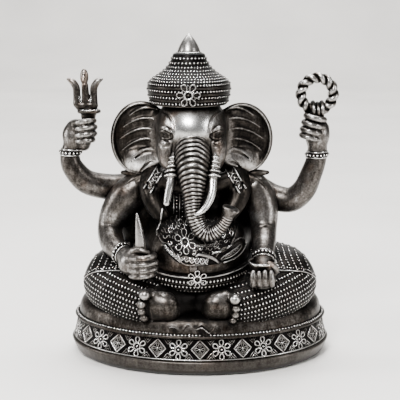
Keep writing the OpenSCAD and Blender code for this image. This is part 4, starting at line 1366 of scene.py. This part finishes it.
def feet():
    forms = []
    for side, name in ((-1, "right_foot"), (1, "left_foot")):
        if side < 0:
            f = Field((-42, -58, 28), (-4, -18, 60), 0.5)
            f.egg((-20.5, -42, 43.2), (8.6, 7.6, 7.6), 0, tip=8)
            f.egg((-18.5, -38, 38), (8.2, 8.4, 6.6), 4)
            f.egg((-26.0, -41, 42), (5.4, 6.4, 9.6), 3)
            toes = [(-31.6, -46.5, 50.4, 3.2), (-33.7, -45.6, 44.3, 2.7), (-33.7, -45.0, 39.8, 2.4),
                    (-32.2, -44.2, 35.6, 2.3)]
            heart = (-26.5, -40.5)
        else:
            f = Field((-6, -58, 28), (30, -18, 60), 0.5)
            f.egg((9.8, -42, 43.6), (7.6, 7.4, 7.4), 0, tip=-8)
            f.egg((8.0, -38, 38.5), (7.6, 8.4, 6.2), 4)
            f.egg((14.8, -41, 42.5), (4.8, 6.2, 8.8), 3)
            toes = [(20.0, -46.5, 47.6, 3.1), (20.8, -45.6, 41.9, 2.5), (20.4, -44.8, 37.8, 2.3),
                    (19.0, -44.0, 34.0, 2.1)]
            heart = (14.8, -40.5)
        m = Mesh()
        for x, y, z, r in toes:
            f.limb([(heart[0], heart[1] + 2, z - 0.5, r * 0.8), ((heart[0] + x) / 2, y + 3.2, z, r * 0.75),
                    (x, y, z, r * 0.7)], 0.8, steps=4)
            f.egg((x, y - 0.6, z), (r * 1.06, r * 1.1, r * 1.0), 0.3)
        toe_x = toes[1][0]
        # Painted highlight: the top of each foot and its toes are painted brighter, as if lit from above.
        m.skin(f, lambda v: 0.20 + 0.24 * np.clip((v[:, 2] - 44) / 5, 0, 1)
               + 0.26 * np.clip(1.5 - np.abs(v[:, 0] - toe_x) / 3, 0, 1))
        m.make(name, SMOOTH)
        forms.append(f)
    return forms


def hem_cloth(hide):
    """The dhoti's end spread in pleats on the seat between the feet."""
    low, high = node_box("hem_cloth")
    f = Field((low[0] - 4, low[1] - 4, low[2] - 1), (high[0] + 4, high[1] + 2, high[2] + 3), 0.5)
    cx, hub_y = (low[0] + high[0]) / 2, -22.0
    wide, deep = (high[0] - low[0]) / 2, -(low[1] - hub_y)

    def cloth(x, y, z):
        a = np.arctan2(x - cx, -(y - hub_y))
        r = np.hypot((x - cx) * deep / wide, y - hub_y)
        edge = deep * (0.93 + 0.05 * np.sin(a * 9.0))
        drop = np.clip((r - deep * 0.35) / (deep * 0.62), 0, 1)
        pleat = (0.7 + 0.6 * drop) * np.sin(a * 18 + 0.6 * np.sin(3 * a))
        height = low[2] + 2.0 + (high[2] - low[2] - 3.4) * (1 - drop ** 1.6) + pleat
        d = np.maximum((z - height) * 0.72, (r - edge) * 0.8)
        return np.maximum(d, low[2] - 0.2 - z)
    f.merge(f.low, f.low + f.step * f.n, cloth, 0)
    m = Mesh()
    m.skin(f, 0.05)
    # A bright wavy edge.
    a = np.linspace(-1.25, 1.25, 130)
    r = deep * (0.93 + 0.05 * np.sin(a * 9.0)) - 0.5
    x, y = cx + r * np.sin(a) * wide / deep, hub_y - r * np.cos(a)
    start = np.stack([x, y, np.full(len(a), high[2] + 2)], -1)
    line = f.cast(start, vec(0, 0, -1)[None], 16, 0.3)
    line = clear(line + vec(0, 0, 0.15), *hide)
    for part in pieces_of(line):
        m.wire(part, 0.4, False, 6, 0.42)
    m.make("hem_cloth", PATTERN)


# ---- cloth and ornaments on the body


def shawl():
    """A rolled cloth round the neck with a patterned border that falls from under each ear."""
    f = Field((-46, -32, 84), (42, 26, 124), 0.6)
    ring = [(-3, -19, 107), (-19, -15, 110), (-30, -3, 113), (-24, 11, 113), (-3, 18, 112), (18, 11, 113),
            (24, -3, 113), (13, -15, 110)]
    loop = [(*p, 5.2) for p in ring]
    f.limb(curve(loop, 5, True).tolist() + [loop[0]], 0, steps=1)
    for side in (-1, 1):
        x = -3 + side * 24
        f.limb([(x + side * 2, -6, 113, 6.5), (x + side * 3.4, -13, 106, 6.2), (x + side * 1, -17.5, 98, 5.6),
                (x - side * 4, -21, 91, 4.6)], 4, steps=4, flat=(1, 1.4))
        # Soft folds.
        for k in (-1, 1):
            f.limb([(x + side * (1 + 2.6 * k), -12, 113, 0.7), (x + side * (2 + 2.4 * k), -20, 104, 0.9),
                    (x - side * (1 - 2 * k), -25, 94, 0.7)], 0.8, steps=4, carve=True)
    m = Mesh()
    m.skin(f, 0.13)
    for side in (-1, 1):
        x = -3 + side * 19
        # The border: two edges with lozenges between.
        top, low = (x - side * 1.5, 118.0), (x + side * 7.5, 104.0)
        along = vec(*low) - vec(*top)
        length = np.linalg.norm(along)
        along /= length
        out = vec(-along[1], along[0]) * side
        for shift in (0, 4.6):
            line = [vec(*top) + out * shift + along * s for s in np.linspace(0, length, 8)]
            wire_on(m, f, line, 0.5, lift=0.15)
        for s in np.arange(1.2, length - 1, 2.5):
            c = vec(*top) + out * 2.3 + along * s
            box = [c + along * 1.0, c + out * 1.6, c - along * 1.0, c - out * 1.6]
            wire_on(m, f, box, 0.34, True, 0.15, smooth=False)
    m.make("shawl", PATTERN)
    return f


def bib(torso, shawl_form):
    """A collar with a wavy hem over the chest, covered in filigree round one flower."""
    fx, _, fz = sum(node_box("bib_flower")) / 2

    def hem(x):
        # Rises to both sides, in soft waves.
        t = (x + 1.0) / 26.0
        return 70.0 + 15.0 * t * t + 1.3 * np.sin(x * 0.62)

    def mask(x, y, z):
        return np.maximum(np.maximum(hem(x) - z, y + 14), np.maximum(np.abs(x + 1.5) - 25.5, z - 106))

    f = cover(torso, 1.5, mask)
    m = Mesh()
    m.skin(f, -0.1)
    xs = np.linspace(-25, 22.5, 60)
    wire_on(m, f, [(x, hem(x) + 0.6) for x in xs], 0.3, lift=0.1, tone=0.25, steps=1)
    # Small curls cover the ground, some brighter than others.
    for row, z in enumerate(np.arange(72.0, 92, 2.5)):
        for x in np.arange(-23.0 + 1.3 * (row % 2), 22, 2.6):
            near_flower = math.hypot(x - fx, z - fz)
            if z < hem(x) + 2.0 or near_flower < 6.6:
                continue
            a, size = random.uniform(0, 2 * math.pi), random.uniform(0.8, 1.35)
            way = random.choice((-1, 1))
            turn = np.linspace(0, random.uniform(1.1, 1.8) * math.pi, 8)
            curl = np.stack([x + size * (1 - 0.1 * turn) * np.cos(way * turn + a),
                             z + size * (1 - 0.1 * turn) * np.sin(way * turn + a)], -1)
            wire_on(m, f, curl, 0.24, lift=0.05, tone=random.choice((0.15, 0.25, 0.4, 0.6)), steps=2)
    # A few larger scrolls beside the flower and one small four-sided flower.
    for x, z, size, a in ((fx - 8.7, fz + 4.4, 1.5, 0.6), (fx - 6.2, fz + 6.4, 1.5, 2.0),
                          (fx - 3.6, fz + 7.8, 1.7, 1.2), (fx + 1.0, fz + 8.2, 1.5, 0.3),
                          (fx - 8.4, fz - 1.2, 1.4, 2.6), (fx + 5.2, fz - 5.0, 1.3, 4.0),
                          (fx + 22.0, fz + 2.4, 1.6, 3.4), (fx + 26.5, fz + 2.0, 1.4, 5.0)):
        turn = np.linspace(0, 1.7 * math.pi, 12)
        scroll = np.stack([x + size * (1 - 0.12 * turn) * np.cos(turn + a),
                           z + size * (1 - 0.12 * turn) * np.sin(turn + a)], -1)
        wire_on(m, f, scroll, 0.32, lift=0.12, tone=0.7, steps=2)
    for size in (2.1, 1.1):
        c = (fx + 17.4, fz - 2.0)
        wire_on(m, f, [(c[0] - size, c[1]), (c[0], c[1] - size), (c[0] + size, c[1]), (c[0], c[1] + size)], 0.3, True,
                0.12, 0.55, smooth=False)
    for x in np.arange(fx + 7.2, fx + 15, 1.5):
        ring = [(x + 0.6 * math.cos(a), fz - 2.0 + 0.6 * math.sin(a)) for a in turns(8)]
        wire_on(m, f, ring, 0.22, True, 0.1, 0.5, steps=1)
    # Two narrow strips with small beads come down on its right.
    for x, foot, tone in ((-15.6, 91.5, 0.5), (-12.1, 90.0, 0.45), (-8.8, 91, 0.25)):
        wire_on(m, f, [(x, z) for z in np.linspace(foot, 105, 8)], 0.3, lift=0.1, tone=tone)
    for x, r in ((-13.8, 0.5), (-10.4, 0.4)):
        spots = on_front(f, [(x, z) for z in np.arange(91, 104, 2.0)], 0.1)
        m.beads(spots, r, 0.8, f.slope(spots))
    # The scarf's edge waves down beside it.
    wave = [(-22.3, 95.5), (-22.5, 93.4), (-22.9, 90.4), (-23.1, 87.6), (-24.2, 84.9), (-25.2, 82.9),
            (-24.6, 80.5)]
    edge = on_top((f, torso, shawl_form), wave, 0.3)
    for _ in range(6):
        edge[1:-1] = (edge[:-2] + 2 * edge[1:-1] + edge[2:]) / 4
    m.wire(edge, 0.3 + 0.25 * np.clip((97 - edge[:, 2]) / 4, 0, 1), False, 8, 0.6)
    m.make("bib", PATTERN)
    return f


def lace(mesh, form, line, height, period, radius=0.28, tone=0.85, middle_beads=True):
    """Two waves that cross each other along a line of x and z, with a bead in each eye."""
    fine = np.asarray(line, float)
    run = length_along(fine)
    way = np.gradient(fine, axis=0)
    way /= np.linalg.norm(way, axis=1, keepdims=True)
    side = np.stack([-way[:, 1], way[:, 0]], -1)
    for sign in (-1, 1):
        wave = fine + side * (sign * height / 2 * np.sin(math.pi * run / period))[:, None]
        wire_on(mesh, form, wave, radius, lift=0.12, tone=tone, steps=1, smooth=False)
    if middle_beads:
        at = np.arange(period / 2, run[-1], period)
        eyes = on_front(form, np.stack([np.interp(at, run, fine[:, 0]), np.interp(at, run, fine[:, 1])], -1), 0.1)
        mesh.beads(eyes, radius * 1.2, tone)


def sash(torso, bib_form):
    """A patterned cloth that hangs across the belly, folded over itself, and loops up at the idol's left."""
    f = Field((-34, -54, 56), (38, -6, 98), 0.5)

    def roll(points, sink):
        # A soft roll let into the belly, through points of x, z and radius.
        line = curve(points, 5)
        hit = on_front(torso, line[:, :2], -sink)
        good = ~np.isnan(hit).any(1)
        f.limb(np.concatenate([hit[good], line[good, 2:]], 1), 1.0, steps=1)

    roll([(-22.6, 81.6, 1.5), (-21.0, 78.8, 1.9), (-18.8, 75.8, 2.2), (-15.6, 73.4, 2.5), (-11.6, 71.0, 2.8),
          (-6.5, 70.2, 3.1), (-1, 70.0, 3.2), (5, 70.2, 3.2), (10.5, 70.6, 3.2)], 1.2)
    roll([(9, 70.6, 3.8), (14, 71.0, 4.0), (18.8, 72.0, 4.2), (22.6, 73.2, 4.0), (24.6, 73.6, 3.2)], 3.0)
    m = Mesh()
    m.skin(f, -0.05)
    chain = curve([(-23.2, 82.2), (-21.9, 80.2), (-20.4, 77.4), (-18.4, 75.3), (-15.7, 73.4), (-13.0, 71.5),
                   (-10.7, 69.8)], 14)
    lace(m, f, chain, 1.5, 1.5, 0.26)
    band = curve([(-11.6, 72.6), (-8.0, 71.7), (-4.9, 71.1), (-1.9, 70.7), (1.2, 70.4), (4.6, 69.9)], 16)
    lace(m, f, band, 3.0, 2.9, 0.3, 0.8)
    lace(m, f, band, 1.7, 1.45, 0.22, 0.5, False)
    # The bib's corner hangs over the sash.
    wire_on(m, f, [(-15.3, 76.3), (-13.4, 74.4), (-12.2, 72.7), (-11.1, 70.5)], 0.45, lift=0.3, tone=0.65)
    wire_on(m, f, [(-10.7, 69.6), (-8.4, 68.2), (-6.1, 67.9), (-1.5, 68.3), (2.7, 68.3)], 0.34, lift=0.1, tone=0.45)
    # The smooth fold that crosses the band.
    fold = on_top((f, bib_form, torso), [(-2.5, 72.9), (-0.8, 73.9), (2.3, 73.5), (5.3, 72.4), (8.4, 70.8),
                                         (10.3, 69.0), (11.7, 67.8)], 0.3)
    width = 0.4 + 0.45 * np.sin(np.pi * np.linspace(0.05, 0.95, len(fold)))
    m.wire(fold, width, False, 10, 0.55)
    # The loop: a cord outside, a finer one inside and a chain between.
    outer = [(6.9, 74.4), (12.3, 75.0), (16.2, 76.4), (19.4, 77.6), (22.4, 78.2), (24.5, 77.7), (26.4, 75.8),
             (27.0, 73.4), (26.0, 71.8), (23.7, 70.2), (20.6, 68.9), (17.0, 68.2), (13.1, 67.8)]
    m.wire(on_top((f, bib_form, torso), outer, 0.5), 0.4, False, 8, 0.62)
    wire_on(m, f, [(11.9, 70.6), (13.4, 71.5), (17.0, 73.0), (20.6, 74.3), (23.3, 75.2), (24.4, 74.5), (23.5, 73.2),
                   (21.0, 71.9), (17.4, 70.5), (13.1, 69.9)], 0.26, True, 0.15, 0.5)
    lace(m, f, curve([(13.4, 70.8), (16.4, 71.7), (19.8, 73.0), (22.8, 74.2)], 14), 1.1, 1.5, 0.16, 0.45, False)
    # A ribbed tab comes down from under the sash.
    for z in (67.0, 66.0, 65.0, 64.1):
        wire_on(m, torso, [(-5.8, z + 0.1), (-3.9, z - 0.2), (-1.9, z + 0.1)], 0.45, lift=0.3, tone=0.45)
    m.make("sash", PATTERN)


def waist_belt(torso, hide):
    tilt = math.radians(7)
    v = vec(0, math.cos(tilt), math.sin(tilt))
    across = vec(0, -math.sin(tilt), math.cos(tilt))
    centre = vec(-3, -6, 60.0)

    def mask(x, y, z):
        h = (x - centre[0]) * across[0] + (y - centre[1]) * across[1] + (z - centre[2]) * across[2]
        return np.abs(h + 0.6) - 6.4

    f = cover(torso, 1.6, mask, 3.0)
    m = Mesh()
    m.skin(f, -0.15)
    beaded_rows(m, f, centre, across, (1, 0, 0), v, (-5.0, -1.7, 1.6), hide, bead=0.66, pitch=2.15,
                ridges=(-0.5,), ridge_r=0.2, row_pitch=3.3, reach=60, ridge_tone=0.15)
    ring = clear(ring_of(f, centre + across * 4.6, (1, 0, 0), v, 60), *hide)
    for part in pieces_of(ring):
        m.wire(spaced(part, 1.6), 0.42, False, 6, 0.5)
    m.make("waist_belt", PATTERN)


# ---- assembly, floor, light and camera


def figure():
    torso = torso_form()
    # Painted highlight: the front of the belly is painted brighter, as if lit from the front.
    sculpted("torso", torso, lambda v: 0.12 + 0.14 * np.clip((-v[:, 1] - 26) / 14, 0, 1))
    head(head_form())
    ears()
    tusks()
    crown()
    crown_finial()
    raised_arm(-1)
    raised_arm(1)
    right_hand, left_hand = front_arm(-1), front_arm(1)
    shoulder_guards()
    trident()
    noose()
    held_tusk()
    bowl_and_sweet()
    feet_forms = feet()
    leg_skins = legs(torso, [right_hand, left_hand] + feet_forms)
    bib_form = bib(torso, shawl())
    sash(torso, bib_form)
    waist_belt(torso, [right_hand, left_hand] + list(leg_skins.values()))
    flower_piece("bib_flower", (bib_form, torso), 6.2, 98, lift=0.6, tone=0.5)
    flower_piece("belt_flower", (torso,), 5.6, 90, lift=2.3)
    flower_piece("crown_flower", (), 6.6, 0, tone=0.45)
    hem_cloth(feet_forms)


def floor_and_back():
    """A pale sweep: floor, a wide curve and a back wall."""
    r, depth, wide, tall = 700, 2600, 3000, 2600
    path = [(-3200, 0), (depth - r, 0)]
    path += [(depth - r + r * math.sin(a), r - r * math.cos(a)) for a in np.linspace(0, math.pi / 2, 24)[1:]]
    path += [(depth, tall)]
    verts = [(x, y, z) for y, z in path for x in (-wide, wide)]
    faces = [(2 * i, 2 * i + 1, 2 * i + 3, 2 * i + 2) for i in range(len(path) - 1)]
    mesh = bpy.data.meshes.new("sweep")
    mesh.from_pydata([tuple(c * MM for c in v) for v in verts], [], faces)
    for p in mesh.polygons:
        p.use_smooth = True
    mesh.materials.append(plain_material("pale_sweep", (0.72, 0.70, 0.67), 0.85, grain=4, depth=0.0))
    return placed("sweep", mesh)


def softbox(name, at, toward, size, watts):
    lamp = bpy.data.lights.new(name, "AREA")
    lamp.shape = "RECTANGLE"
    lamp.size, lamp.size_y = size[0] * MM, size[1] * MM
    lamp.energy = watts
    obj = placed(name, lamp)
    obj.location = Vector([c * MM for c in at])
    obj.rotation_euler = (Vector([c * MM for c in toward]) - obj.location).to_track_quat("-Z", "Y").to_euler()


def studio():
    floor_and_back()
    softbox("key", (-150, -560, 620), (0, 0, 100), (220, 220), 13)
    softbox("fill", (620, -360, 330), (0, 0, 90), (120, 420), 3.5)
    softbox("top", (0, 160, 900), (0, 60, 60), (500, 360), 10)
    softbox("left", (-700, -120, 300), (0, 0, 100), (120, 420), 4.5)
    softbox("back", (0, 250, 1400), (0, 700, 300), (1800, 300), 34)
    softbox("wall", (0, 1500, 1500), (0, 2000, 100), (2600, 400), 60)
    world = bpy.data.worlds.new("studio")
    bpy.context.scene.world = world
    world.use_nodes = True
    world.node_tree.nodes["Background"].inputs["Color"].default_value = (1, 0.98, 0.95, 1)
    world.node_tree.nodes["Background"].inputs["Strength"].default_value = 0.07


def camera():
    cam = bpy.data.cameras.new("camera")
    cam.sensor_width = 36
    cam.lens = 77.85
    cam.clip_start, cam.clip_end = 0.01, 50
    obj = placed("camera", cam)
    obj.location = Vector((0, -520 * MM, 210 * MM))
    obj.rotation_euler = (math.radians(90 - 12.4), 0, 0)
    bpy.context.scene.camera = obj


plinth()
bead_rim()
seat()
felt_pad()
pins()
figure()
studio()
camera()
